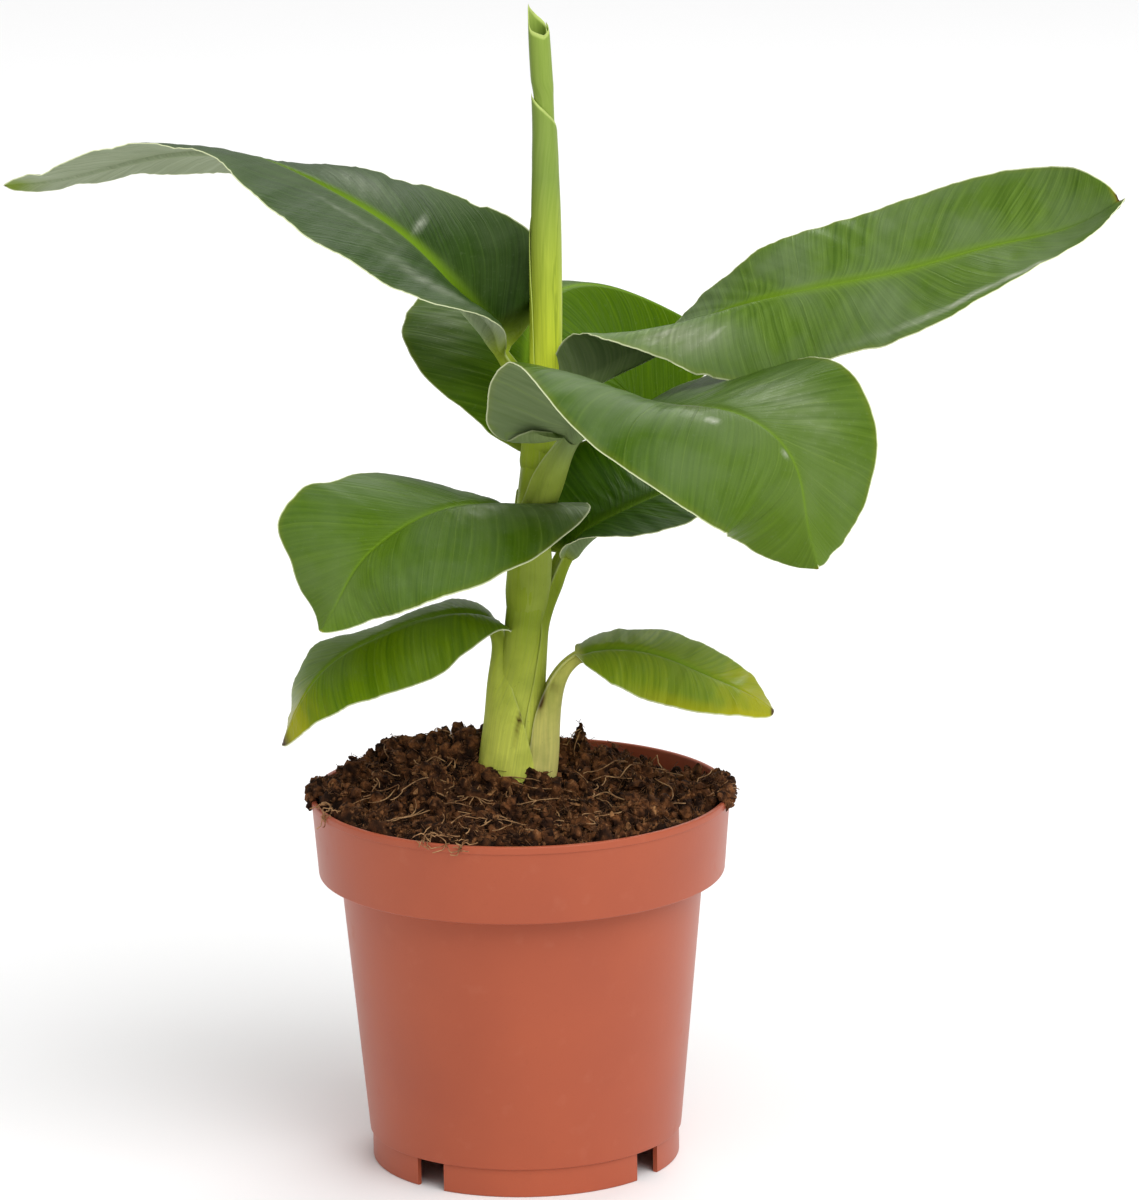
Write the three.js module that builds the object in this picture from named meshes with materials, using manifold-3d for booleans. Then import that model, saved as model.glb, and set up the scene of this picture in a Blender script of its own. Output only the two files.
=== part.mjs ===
// A young banana plant in a round nursery pot: pot, soil, pseudostem, one rolled leaf and eight open leaves.
// Millimetres, +Z up, front towards -Y. Sizes below are from the pot's axis and from the ground it stands on.
import * as THREE from 'three';
import { mergeVertices } from 'three/addons/utils/BufferGeometryUtils.js';
import Module from 'manifold-3d';

const wasm = await Module();
wasm.setup();

const clearance = 0.3; // gap between neighbouring pieces
const groundLevel = 111.3; // where the stem leaves the soil

const pot = {
  height: 107.3,
  rimRadius: 60,
  bandBottomRadius: 58,
  bandBottom: 84.3,
  shoulderRadius: 51.9,
  footRadius: 44.8,
  ringRadius: 44.1,
  ringHeight: 8.3,
  wall: 1.5,
  lip: 2.2,
  notchWidth: 9.4,
  notchAzimuths: [-38, 52, 142, 232],
  drainHoles: 5,
  drainRadius: 4,
  drainCircle: 24,
  segments: 40,
};

const soil = {
  edgeHeight: 105.5,
  frontRise: 2,
  mound: { x: -12, y: 11, height: 15, spreadX: 24, spreadY: 17 },
  lump: 1.6,
  lumpPitch: 9,
  rings: 7,
};

// Pseudostem sections: height, centre along X and radius.
const stem = {
  heights: [groundLevel, 150, 190, 222],
  centres: [-2.4, 1.2, 4.9, 8],
  radii: [8.4, 6.9, 5.9, 4.4],
  steps: 10,
  sides: 16,
};

// The rolled leaf is a quill that narrows to its left edge at the tip.
const rolled = {
  heights: [222 + clearance, 255, 290, 318, 328, 334],
  centres: [9, 9.4, 9.5, 9, 7.6, 6.4],
  radii: [3.9, 4.1, 3.3, 2.8, 1.6, 0.3],
  steps: 15,
  sides: 12,
};

// Each leaf starts at the stem and grows petiole and blade along its midrib. pitch is the midrib's rise
// above level and heading its compass turn from +X towards +Y, in degrees at even steps from start to
// tip. roll, sweep, fold and curl follow the blade in the same way: sweep leans the veins towards the
// tip, fold is each half's rise off the midrib and curl its further bend on the way to the margin.
const leaves = {
  upper_left_leaf: {
    start: [4, 0, 212], stalk: [3.5, 2.5], petiole: 24, blade: 164, width: 32, shape: [0.35, 0.75],
    pitch: [85, 55, 50, 30, 20, -5, -15, 0], heading: [155, 170, 175, 165, 170, 175, 185],
    roll: [5, 0, 5, 5], sweep: [0, 10, 30],
    foldRight: [100, 30, 10, -20, -20, -45], curlRight: [20, -15, -20, 0],
    foldLeft: [60, 5, 0, 20, 30, 20], curlLeft: [-45, -10, -10, 0],
  },
  upper_right_leaf: {
    start: [9, 0, 214], stalk: [3.5, 2.5], petiole: 9, blade: 168, width: 28, shape: [0.50, 0.50],
    pitch: [50, 30, 30, 15, 10, 15, 10, 35], heading: [-15, -10, -10, 0, 5, 5],
    roll: [15, -15, -20, -5], sweep: [-50, -45, 35],
    foldRight: [65, 40, -30, -10, 0], curlRight: [0, -30, 20, 30],
    foldLeft: [75, 5, 20, 30, 60], curlLeft: [-25, -20, -25, 10],
  },
  front_right_leaf: {
    start: [5, -6, 186], stalk: [4, 3.4], petiole: 31, blade: 117, width: 38, shape: [0.35, 0.70],
    pitch: [65, 65, 25, 10, 5, -30, -80, -65], heading: [-30, -45, -40, -40, -30, -50],
    roll: [-15, -5, -10, 0], sweep: [-50, 10, 35],
    foldRight: [35, 60, 20, -10, -25, -70], curlRight: [-5, -45, -50, -25, -15],
    foldLeft: [-50, -5, 5, 5, -5], curlLeft: [15, 0, 5, -15],
  },
  back_leaf: {
    start: [5, 5, 192], stalk: [3.5, 2.8], petiole: 12, blade: 130, width: 44, shape: [0.65, 0.65],
    pitch: [85, 70, 45, 20, 0, -20, -30, -35], heading: [105, 95, 75, 50, 30, 15],
    roll: [0, 0], sweep: [5, 10, 25],
    foldRight: [-10, -40, -60, -60], curlRight: [-20, -20, -10, 0],
    foldLeft: [10, 0, -10], curlLeft: [-25, -15, -20, 0],
  },
  front_left_leaf: {
    start: [2, -6, 182], stalk: [3.5, 2.6], petiole: 9, blade: 77, width: 29, shape: [0.25, 0.75],
    pitch: [85, 25, 0, -20, -35, -60, -55], heading: [225, 210, 205, 200],
    roll: [5, 5], sweep: [-65, 20, 15],
    foldRight: [15, 5, 35, 40, -5], curlRight: [-35, -25, 0, 0],
    foldLeft: [30, -15, -20, -25, -45], curlLeft: [0, -20, -15, -10],
  },
  rear_right_leaf: {
    start: [5, 3, 140], stalk: [3, 2.4], petiole: 36, blade: 77, width: 23, shape: [0.50, 0.60],
    pitch: [70, 80, 65, 25, 15, 5, -5, -20], heading: [20, 25, 30, 40],
    roll: [0, 0], sweep: [-30, 5, 30],
    foldRight: [30, 5, 0, 10, 10], curlRight: [10, 0, 0],
    foldLeft: [50, 30, 20, 10, 10], curlLeft: [0, 0],
  },
  lower_left_leaf: {
    start: [-8, -1, 112], stalk: [5, 2.2], petiole: 44, blade: 81, width: 18, shape: [0.45, 0.65],
    pitch: [95, 95, 95, 15, -15, -25, -55, -70], heading: [180, 200, 195, 190],
    roll: [0, 0], sweep: [-30, 5, 25],
    foldRight: [20, 0, 5, -15], curlRight: [-25, -25, -15, 0],
    foldLeft: [20, -45, -25, -15], curlLeft: [-20, -30, -15, 5],
  },
  lower_right_leaf: {
    start: [5, -3, 112], stalk: [4, 2.2], petiole: 38, blade: 61, width: 15, shape: [0.50, 0.60],
    pitch: [80, 85, 70, 15, -10, -25, -25, -40], heading: [0, 0, -5, -5],
    roll: [0, -5, 0], sweep: [-5, 0, 25],
    foldRight: [-5, -25, -20, -20], curlRight: [-25, -25, -15, 0],
    foldLeft: [10, 15, 25, -5], curlLeft: [-25, -20, -10, 0],
  },
};

const bladeThicknessRatio = 0.0105; // of the leaf's whole length
const midribTipRadius = 0.9;
const midribSteps = 80;
const stalkSides = 6;
const stalkStep = 13; // between sections of a petiole and midrib
const bladeStep = 11; // between sections of a blade
const broadLeaf = 25; // half width from which a blade gets one more facet across
const smallestFeature = 0.05; // left out after the cuts

const colours = {
  terracotta: 0xb7694d,
  soil: 0x452c1b,
  stem: 0x8c9f3c,
  rolledLeaf: 0x9bb44f,
  leaf: 0x5c7834,
};

function material(color, roughness) {
  return new THREE.MeshStandardMaterial({ color, roughness, metalness: 0 });
}

// Value at fraction s of a list of evenly spaced values, on a smooth curve through them.
function spread(values, s) {
  const last = values.length - 1;
  const x = THREE.MathUtils.clamp(s, 0, 1) * last;
  const i = Math.min(Math.floor(x), last - 1);
  const f = x - i;
  const [a, b, c, d] = [values[Math.max(i - 1, 0)], values[i], values[i + 1], values[Math.min(i + 2, last)]];
  return b + 0.5 * f * (c - a + f * (2 * a - 5 * b + 4 * c - d + f * (3 * (b - c) + d - a)));
}

const degrees = (values, s) => THREE.MathUtils.degToRad(spread(values, s));

// Value at x of straight stretches through the points (stations[i], values[i]).
function between(stations, values, x) {
  let i = 0;
  while (i < stations.length - 2 && x > stations[i + 1]) i += 1;
  const f = (x - stations[i]) / (stations[i + 1] - stations[i]);
  return THREE.MathUtils.lerp(values[i], values[i + 1], f);
}

// Closed skin over rings of points, with a fan over each end.
function loft(rings) {
  const count = rings[0].length;
  const points = rings.flat();
  const faces = [];
  for (let r = 0; r < rings.length - 1; r += 1) {
    for (let k = 0; k < count; k += 1) {
      const [a, b] = [r * count + k, r * count + (k + 1) % count];
      faces.push(a, b, b + count, a, b + count, a + count);
    }
  }
  for (const [ring, turned] of [[0, true], [rings.length - 1, false]]) {
    const centre = points.length;
    const middle = new THREE.Vector3();
    rings[ring].forEach((p) => middle.addScaledVector(p, 1 / count));
    points.push(middle);
    for (let k = 0; k < count; k += 1) {
      const [a, b] = [ring * count + k, ring * count + (k + 1) % count];
      faces.push(centre, turned ? b : a, turned ? a : b);
    }
  }
  const geometry = new THREE.BufferGeometry().setFromPoints(points);
  geometry.setIndex(faces);
  return geometry;
}

// A geometry as a manifold-3d solid with its faces pointing out.
function toSolid(source) {
  const geometry = source.clone();
  geometry.deleteAttribute('normal');
  geometry.deleteAttribute('uv');
  const merged = mergeVertices(geometry, 1e-3);
  const build = (triVerts) => new wasm.Manifold(
    new wasm.Mesh({ numProp: 3, vertProperties: merged.attributes.position.array, triVerts }),
  );
  const solid = build(new Uint32Array(merged.index.array));
  return solid.volume() > 0 ? solid : build(new Uint32Array(merged.index.array).reverse());
}

// The largest connected piece of a solid, without the slivers that cutting leaves.
function tidySolid(solid) {
  const pieces = solid.simplify(smallestFeature).decompose();
  return pieces.sort((a, b) => b.volume() - a.volume())[0];
}

function toMesh(solid, name, surface) {
  const { vertProperties, triVerts } = solid.getMesh();
  const geometry = new THREE.BufferGeometry();
  geometry.setAttribute('position', new THREE.BufferAttribute(vertProperties, 3));
  geometry.setIndex(new THREE.BufferAttribute(triVerts, 1));
  geometry.computeVertexNormals();
  const mesh = new THREE.Mesh(geometry, surface);
  mesh.name = name;
  return mesh;
}

// Round column whose centre and radius change with height.
function column({ heights, centres, radii, steps, sides }, grow = 0) {
  const rings = [];
  for (let i = 0; i <= steps; i += 1) {
    const z = THREE.MathUtils.lerp(heights[0], heights.at(-1), i / steps);
    const radius = between(heights, radii, z) + grow;
    const centre = between(heights, centres, z);
    const level = z + endShift(i, steps, grow);
    rings.push(circle(sides, (c, s) => new THREE.Vector3(centre + radius * c, radius * s, level)));
  }
  return toSolid(loft(rings));
}

function circle(sides, point) {
  return Array.from({ length: sides }, (_, k) => {
    const angle = (2 * Math.PI * k) / sides;
    return point(Math.cos(angle), Math.sin(angle));
  });
}

// Points and directions along a leaf's midrib, summed up from its pitch and heading.
function growMidrib(leaf) {
  const length = leaf.petiole + leaf.blade;
  const point = new THREE.Vector3(...leaf.start);
  const stations = [];
  for (let i = 0; i <= midribSteps; i += 1) {
    const s = i / midribSteps;
    const [pitch, heading] = [degrees(leaf.pitch, s), degrees(leaf.heading, s)];
    const along = new THREE.Vector3(Math.cos(heading), Math.sin(heading), 0)
      .multiplyScalar(Math.cos(pitch))
      .setZ(Math.sin(pitch));
    const side = new THREE.Vector3(Math.sin(heading), -Math.cos(heading), 0);
    const up = new THREE.Vector3().crossVectors(side, along);
    if (i > 0) {
      const step = stations.at(-1).along.clone().add(along).multiplyScalar((0.5 * length) / midribSteps);
      point.add(step);
    }
    stations.push({ point: point.clone(), along, side, up });
  }
  return stations;
}

function stationAt(stations, s) {
  const x = THREE.MathUtils.clamp(s, 0, 1) * midribSteps;
  const i = Math.min(Math.floor(x), midribSteps - 1);
  const mix = (key) => stations[i][key].clone().lerp(stations[i + 1][key], x - i);
  return { point: mix('point'), along: mix('along'), side: mix('side'), up: mix('up') };
}

// How far a grown piece reaches past its first and last section.
function endShift(i, last, grow) {
  return { 0: -grow, [last]: grow }[i] ?? 0;
}

// Share of the full half width at fraction u of the blade: a round base and a pointed tip.
function outline([base, tip], u) {
  const widest = base / (base + tip);
  return (u / widest) ** base * ((1 - u) / (1 - widest)) ** tip;
}

// Half of a blade, on the midrib's right (hand 1) or left (hand -1), as a solid of even thickness.
function halfBlade(leaf, midrib, hand, grow) {
  const length = leaf.petiole + leaf.blade;
  const half = (bladeThicknessRatio * length) / 2 + grow;
  const [fold, curl] = hand > 0 ? [leaf.foldRight, leaf.curlRight] : [leaf.foldLeft, leaf.curlLeft];
  const steps = Math.round(leaf.blade / bladeStep) + 2;
  const across = leaf.width > broadLeaf ? 4 : 3;
  const rings = [];
  for (let i = 0; i <= steps; i += 1) {
    const u = 0.006 + 0.988 * (i / steps) ** 1.15;
    const { point, along, side, up } = stationAt(midrib, (leaf.petiole + u * leaf.blade) / length);
    point.addScaledVector(along, endShift(i, steps, grow));
    const roll = degrees(leaf.roll, u);
    const sweep = degrees(leaf.sweep, u);
    const out = side.clone().multiplyScalar(Math.cos(roll)).addScaledVector(up, Math.sin(roll));
    const above = up.multiplyScalar(Math.cos(roll)).addScaledVector(side, -Math.sin(roll));
    const vein = out.multiplyScalar(hand * Math.cos(sweep)).addScaledVector(along, Math.sin(sweep));
    const width = leaf.width * outline(leaf.shape, u) + grow;
    const rise = degrees(fold, u);
    const bend = degrees(curl, u) || 1e-3;
    const upper = [];
    const lower = [];
    for (let k = 0; k <= across; k += 1) {
      const turn = rise + (bend * k) / across;
      const middle = point.clone()
        .addScaledVector(vein, (width * (Math.sin(turn) - Math.sin(rise))) / bend)
        .addScaledVector(above, (width * (Math.cos(rise) - Math.cos(turn))) / bend);
      const normal = above.clone().multiplyScalar(Math.cos(turn)).addScaledVector(vein, -Math.sin(turn));
      upper.push(middle.clone().addScaledVector(normal, half));
      lower.unshift(middle.addScaledVector(normal, -half));
    }
    rings.push([...upper, ...lower]);
  }
  return toSolid(loft(rings));
}

// Petiole and midrib in one tapering rod.
function stalk(leaf, midrib, grow) {
  const length = leaf.petiole + leaf.blade;
  const neck = leaf.petiole / length;
  const steps = Math.round(length / stalkStep);
  const rings = [];
  for (let i = 0; i <= steps; i += 1) {
    const s = i / steps;
    const { point, along, side, up } = stationAt(midrib, s);
    point.addScaledVector(along, endShift(i, steps, grow));
    const radius = between([0, neck, 1], [...leaf.stalk, midribTipRadius], s) + grow;
    rings.push(circle(stalkSides, (c, n) => point.clone()
      .addScaledVector(side, radius * c)
      .addScaledVector(up, radius * n)));
  }
  return toSolid(loft(rings));
}

function leafSolid(leaf, grow = 0) {
  const midrib = growMidrib(leaf);
  return stalk(leaf, midrib, grow)
    .add(halfBlade(leaf, midrib, 1, grow))
    .add(halfBlade(leaf, midrib, -1, grow));
}

// Thin-walled pot with a wide band at its rim and a foot ring under a raised floor.
function potSolid() {
  const { wall, ringHeight, bandBottom, height, lip } = pot;
  const floorTop = ringHeight + wall;
  const profile = [
    [0, ringHeight],
    [pot.ringRadius - wall, ringHeight],
    [pot.ringRadius - wall, 0],
    [pot.ringRadius, 0],
    [pot.ringRadius, ringHeight],
    [pot.footRadius, ringHeight],
    [pot.shoulderRadius, bandBottom],
    [pot.bandBottomRadius, bandBottom],
    [pot.rimRadius - 0.3, height - lip],
    [pot.rimRadius, height - lip],
    [pot.rimRadius, height - 0.5],
    [pot.rimRadius - 0.5, height],
    [pot.rimRadius - wall, height],
    [pot.bandBottomRadius - wall, bandBottom + wall],
    [pot.shoulderRadius - wall, bandBottom],
    [pot.footRadius - wall, floorTop],
    [0, floorTop],
  ].map(([r, z]) => new THREE.Vector2(r, z));
  let solid = toSolid(new THREE.LatheGeometry(profile, pot.segments).rotateX(Math.PI / 2));
  for (const azimuth of pot.notchAzimuths) {
    const notch = new THREE.BoxGeometry(pot.notchWidth, 8, 2 * (ringHeight - 0.02));
    notch.translate(0, -pot.ringRadius, 0);
    notch.rotateZ(THREE.MathUtils.degToRad(azimuth));
    solid = solid.subtract(toSolid(notch));
  }
  for (let k = 0; k < pot.drainHoles; k += 1) {
    const hole = new THREE.CylinderGeometry(pot.drainRadius, pot.drainRadius, 4 * wall, 12);
    hole.rotateX(Math.PI / 2).translate(pot.drainCircle, 0, ringHeight);
    hole.rotateZ((2 * Math.PI * k) / pot.drainHoles);
    solid = solid.subtract(toSolid(hole));
  }
  return solid;
}

// Height of the soil: low at the back of the rim, mounded behind the stem, and lumpy.
function soilHeight(x, y) {
  const { mound } = soil;
  const slope = soil.edgeHeight - (soil.frontRise * y) / pot.rimRadius;
  const [dx, dy] = [(x - mound.x) / mound.spreadX, (y - mound.y) / mound.spreadY];
  const lumps = Math.sin(x / soil.lumpPitch * 2.1 + Math.sin(y / soil.lumpPitch) * 1.7)
    * Math.cos(y / soil.lumpPitch * 1.9 - 0.6);
  return slope + mound.height * Math.exp(-(dx * dx + dy * dy) / 2) + soil.lump * lumps;
}

// Soil that fills the pot, clear of its wall and floor.
function soilSolid() {
  const { wall, ringHeight, bandBottom, height } = pot;
  const inset = wall + 2 * clearance;
  const rimRadius = between([bandBottom, height], [pot.bandBottomRadius, pot.rimRadius], soil.edgeHeight);
  const flatRing = (z, radius) => circle(pot.segments, (c, s) => new THREE.Vector3(radius * c, radius * s, z));
  const rings = [
    flatRing(ringHeight + wall + clearance, pot.footRadius - inset),
    flatRing(bandBottom + clearance, pot.shoulderRadius - inset),
    flatRing(bandBottom + 2 * wall, pot.bandBottomRadius - inset),
  ];
  for (let i = 0; i < soil.rings; i += 1) {
    const radius = (rimRadius - inset) * (1 - i / soil.rings);
    rings.push(circle(pot.segments, (c, s) => {
      const [x, y] = [radius * c, radius * s];
      return new THREE.Vector3(x, y, soilHeight(x, y));
    }));
  }
  return toSolid(loft(rings));
}

const group = new THREE.Group();

const stemSolid = column(stem);
const rolledSolid = column(rolled);
const kept = [column(stem, clearance), column(rolled, clearance)];
const sheaths = [kept[0]];

group.add(toMesh(potSolid(), 'pot', material(colours.terracotta, 0.45)));
group.add(toMesh(stemSolid, 'pseudostem', material(colours.stem, 0.45)));
group.add(toMesh(rolledSolid, 'rolled_leaf', material(colours.rolledLeaf, 0.5)));

// Each leaf is cut clear of the stem and of the leaves above it.
for (const [name, leaf] of Object.entries(leaves)) {
  let solid = leafSolid(leaf);
  for (const other of kept) solid = solid.subtract(other);
  const grown = leafSolid(leaf, clearance);
  kept.push(grown);
  if (leaf.start[2] < groundLevel + 10) sheaths.push(grown);
  group.add(toMesh(tidySolid(solid), name, material(colours.leaf, 0.5)));
}

let bed = soilSolid();
for (const other of sheaths) bed = bed.subtract(other);
group.add(toMesh(tidySolid(bed), 'soil', material(colours.soil, 0.95)));

// The origin is on the ground under the middle of the whole plant.
const box = new THREE.Box3().setFromObject(group);
const middle = box.getCenter(new THREE.Vector3());
group.position.set(-middle.x, -middle.y, -box.min.z);

export default group;
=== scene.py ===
import math

import bpy
import bmesh
import numpy as np
from mathutils import Matrix, Vector, noise


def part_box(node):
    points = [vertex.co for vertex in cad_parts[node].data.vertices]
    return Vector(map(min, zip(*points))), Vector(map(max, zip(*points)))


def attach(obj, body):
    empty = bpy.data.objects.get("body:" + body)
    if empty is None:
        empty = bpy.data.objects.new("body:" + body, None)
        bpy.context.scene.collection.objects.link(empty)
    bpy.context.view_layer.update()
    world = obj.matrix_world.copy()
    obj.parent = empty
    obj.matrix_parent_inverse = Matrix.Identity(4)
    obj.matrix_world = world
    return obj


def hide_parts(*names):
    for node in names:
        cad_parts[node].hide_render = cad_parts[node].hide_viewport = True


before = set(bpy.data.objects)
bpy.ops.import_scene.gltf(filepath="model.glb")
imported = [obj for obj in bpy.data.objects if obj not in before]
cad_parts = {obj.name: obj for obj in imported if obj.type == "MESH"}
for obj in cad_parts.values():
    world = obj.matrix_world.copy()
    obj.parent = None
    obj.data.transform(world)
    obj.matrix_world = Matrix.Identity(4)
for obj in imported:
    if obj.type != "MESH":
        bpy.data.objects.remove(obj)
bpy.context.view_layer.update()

mm = 0.001
potLow, potHigh = [np.array(corner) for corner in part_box("pot")]
potAxis = np.append((potLow + potHigh)[:2] / 2, 0)  # on the ground, under the pot's middle
rimRadius = (potHigh - potLow)[0] / 2 / mm
rimHeight = potHigh[2] / mm


def place(points):  # from millimetres about the pot's axis to metres in the shared frame
    return np.asarray(points, float) * mm + potAxis


def spread(values, s):  # smooth curve through evenly spaced values
    v = np.asarray(values, float)
    last = len(v) - 1
    x = np.clip(s, 0, 1) * last
    i = np.minimum(np.floor(x).astype(int), last - 1)
    f = x - i
    a, b, c, d = v[np.maximum(i - 1, 0)], v[i], v[i + 1], v[np.minimum(i + 2, last)]
    return b + 0.5 * f * (c - a + f * (2 * a - 5 * b + 4 * c - d + f * (3 * (b - c) + d - a)))


def ease(low, high, x):  # 0 below low, 1 above high
    t = np.clip((np.asarray(x, float) - low) / (high - low), 0, 1)
    return t * t * (3 - 2 * t)


def mix(a, b, k):
    return a + (b - a) * k


def unit(v):
    return v / np.linalg.norm(v, axis=-1, keepdims=True)


def waves(x, y, seed):  # slow pseudo-random ripple between about -1 and 1
    draw = np.random.default_rng(seed)
    total = 0
    for k in range(5):
        a, b, phase = draw.uniform(0.5, 1.6), draw.uniform(-1, 1), draw.uniform(0, 2 * np.pi)
        total = total + np.sin(x * a * (1 + k * 0.7) + y * b * (1 + k * 0.5) + phase) / (1 + k * 0.6)
    return total / 2.2


def polar(radius, angle, height):
    return np.stack(np.broadcast_arrays(radius * np.cos(angle), radius * np.sin(angle), height), -1)


def turns(sides):
    return np.linspace(0, 2 * np.pi, sides, endpoint=False)


def gridFaces(rows, columns, wrap=False):
    r, c = np.meshgrid(np.arange(rows - 1), np.arange(columns if wrap else columns - 1), indexing="ij")
    n = (c + 1) % columns
    quads = np.stack([r * columns + c, r * columns + n, (r + 1) * columns + n, (r + 1) * columns + c], -1)
    return quads.reshape(-1, 4)


def closedFaces(rows, sides):  # rings closed by a fan to each of two points, which come after the grid's
    faces = [list(f) for f in gridFaces(rows, sides, wrap=True)]
    last = (rows - 1) * sides
    for k in range(sides):
        after = (k + 1) % sides
        faces.append([rows * sides, after, k])
        faces.append([rows * sides + 1, last + k, last + after])
    return faces


def plainMesh(name, points, faces):
    mesh = bpy.data.meshes.new(name)
    mesh.from_pydata([tuple(p) for p in points], [], [tuple(int(i) for i in f) for f in faces])
    mesh.update()
    return mesh


def addObject(name, data):
    made = bpy.data.objects.new(name, data)
    bpy.context.scene.collection.objects.link(made)
    return made


def makePiece(name, points, faces, materials, slots=None, sharp=60):
    mesh = plainMesh(name, points, faces)
    for material in materials:
        mesh.materials.append(material)
    if slots is not None:
        mesh.polygons.foreach_set("material_index", np.asarray(slots, np.int32))
    mesh.shade_smooth()
    mesh.set_sharp_from_angle(angle=math.radians(sharp))
    return addObject(name, mesh)


def addColours(piece, name, values):
    layer = piece.data.color_attributes.new(name, "FLOAT_COLOR", "POINT")
    rgba = np.ones((len(piece.data.vertices), 4), np.float32)
    rgba[:, :3] = values
    layer.data.foreach_set("color", rgba.ravel())


def addMap(piece, values):
    corners = np.empty(len(piece.data.loops), np.int32)
    piece.data.loops.foreach_get("vertex_index", corners)
    layer = piece.data.uv_layers.new(name="blade")
    layer.data.foreach_set("uv", np.asarray(values, np.float32)[corners].ravel())


def finishPiece(piece, slot, *nodes):
    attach(piece, "root")
    if nodes:
        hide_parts(*nodes)


def feed(tree, socket, value):  # links another node's output, or sets a plain value
    if isinstance(value, bpy.types.NodeSocket):
        tree.links.new(value, socket)
    elif socket.type == "RGBA" and len(value) == 3:
        socket.default_value = (*value, 1)
    else:
        socket.default_value = value


def addNode(tree, kind, inputs=None, **settings):
    made = tree.nodes.new(kind)
    for key, value in settings.items():
        setattr(made, key, value)
    for key, value in (inputs or {}).items():
        feed(tree, made.inputs[key], value)
    return made


def calculate(tree, operation, *values):
    return addNode(tree, "ShaderNodeMath", dict(enumerate(values)), operation=operation).outputs[0]


def times(tree, a, b):
    return calculate(tree, "MULTIPLY", a, b)


def vectors(tree, operation, inputs):
    return addNode(tree, "ShaderNodeVectorMath", inputs, operation=operation).outputs[0]


def remap(tree, value, low, high, to=(0.0, 1.0)):
    return addNode(tree, "ShaderNodeMapRange", {
        "Value": value, "From Min": low, "From Max": high, "To Min": to[0], "To Max": to[1]}).outputs[0]


def combine(tree, x=0.0, y=0.0, z=0.0):
    return addNode(tree, "ShaderNodeCombineXYZ", {"X": x, "Y": y, "Z": z}).outputs[0]


def split(tree, vector):
    return addNode(tree, "ShaderNodeSeparateXYZ", {"Vector": vector}).outputs


def painted(tree, name):  # the three values of a colour attribute
    colour = addNode(tree, "ShaderNodeAttribute", attribute_name=name).outputs["Color"]
    return addNode(tree, "ShaderNodeSeparateColor", {"Color": colour}).outputs


def objectSpace(tree):
    return tree.nodes.new("ShaderNodeTexCoord").outputs["Object"]


def blend(tree, factor, a, b):
    return addNode(tree, "ShaderNodeMix", {0: factor, 6: a, 7: b}, data_type="RGBA").outputs[2]


def tint(tree, base, mask, strength, colour):
    return blend(tree, times(tree, mask, strength), base, colour)


def sRgb(*screen):  # 0 to 255 as on a screen, to the linear values that sockets take
    parts = [value / 255 for value in screen]
    return tuple(v / 12.92 if v <= 0.04045 else ((v + 0.055) / 1.055) ** 2.4 for v in parts)


def socketType(value):  # where an input has no value of its own, the type's name stands in its place
    if isinstance(value, str):
        return "NodeSocket" + value
    if isinstance(value, tuple):
        return "NodeSocketColor" if len(value) == 4 else "NodeSocketVector"
    return "NodeSocketInt" if isinstance(value, int) else "NodeSocketFloat"


def newGroup(name, kind, ins, outs):
    tree = bpy.data.node_groups.new(name, kind)
    ids = {}
    for label, value in ins.items():
        socket = tree.interface.new_socket(label, in_out="INPUT", socket_type=socketType(value))
        if not isinstance(value, str):
            socket.default_value = value
        ids[label] = socket.identifier
    for label, given in outs.items():
        tree.interface.new_socket(label, in_out="OUTPUT", socket_type=socketType(given))
    return tree, ids, tree.nodes.new("NodeGroupInput").outputs, tree.nodes.new("NodeGroupOutput").inputs


def useGroup(tree, group, inputs):
    return addNode(tree, "ShaderNodeGroup", inputs, node_tree=group).outputs


def mottle(tree, size, low, high):  # soft patches of about this many millimetres
    return useGroup(tree, mottleGroup, {"Size": size, "Low": low, "High": high})["Value"]


veinRule = {
    "layers": [("Fine", 0.035, 2.0, 0.75), ("Broad", 0.09, 3.0, 0.25)],  # input, stretch, detail, share
    "contrast": (0.32, 0.68),
    "uneven": 0.6,
    "lineEdge": (0.03, 0.12),  # in parts of the pitch
}


def makeVeinGroup():  # parallel lines that run across a blade, or up a stalk
    tree, _, given, result = newGroup(
        "parallel veins", "ShaderNodeTree",
        {"Along": 0.0, "Across": 0.0, "Fine": 1.0, "Broad": 0.2, "Pitch": 4.0},
        {"Shade": "Float", "Lines": "Float"})
    layers = []
    for label, stretch, detail, share in veinRule["layers"]:
        x = times(tree, given["Along"], given[label])
        y = times(tree, given["Across"], times(tree, given[label], stretch))
        cloud = {"Vector": combine(tree, x, y), "Scale": 1.0, "Detail": detail}
        lines = addNode(tree, "ShaderNodeTexNoise", cloud).outputs[0]
        layers.append((remap(tree, lines, *veinRule["contrast"]), share))
    (fine, fineShare), (broad, broadShare) = layers
    shade = calculate(tree, "MULTIPLY_ADD", fine, fineShare, times(tree, broad, broadShare))
    count = calculate(tree, "DIVIDE", given["Along"], given["Pitch"])
    count = calculate(tree, "ADD", count, times(tree, broad, veinRule["uneven"]))
    gap = calculate(tree, "PINGPONG", count, 0.5)
    thin = remap(tree, gap, *veinRule["lineEdge"], to=(1.0, 0.0))
    each = {"W": calculate(tree, "ROUND", count)}
    strength = addNode(tree, "ShaderNodeTexWhiteNoise", each, noise_dimensions="1D").outputs[0]
    feed(tree, result["Shade"], shade)
    feed(tree, result["Lines"], times(tree, thin, times(tree, strength, strength)))
    return tree


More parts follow.
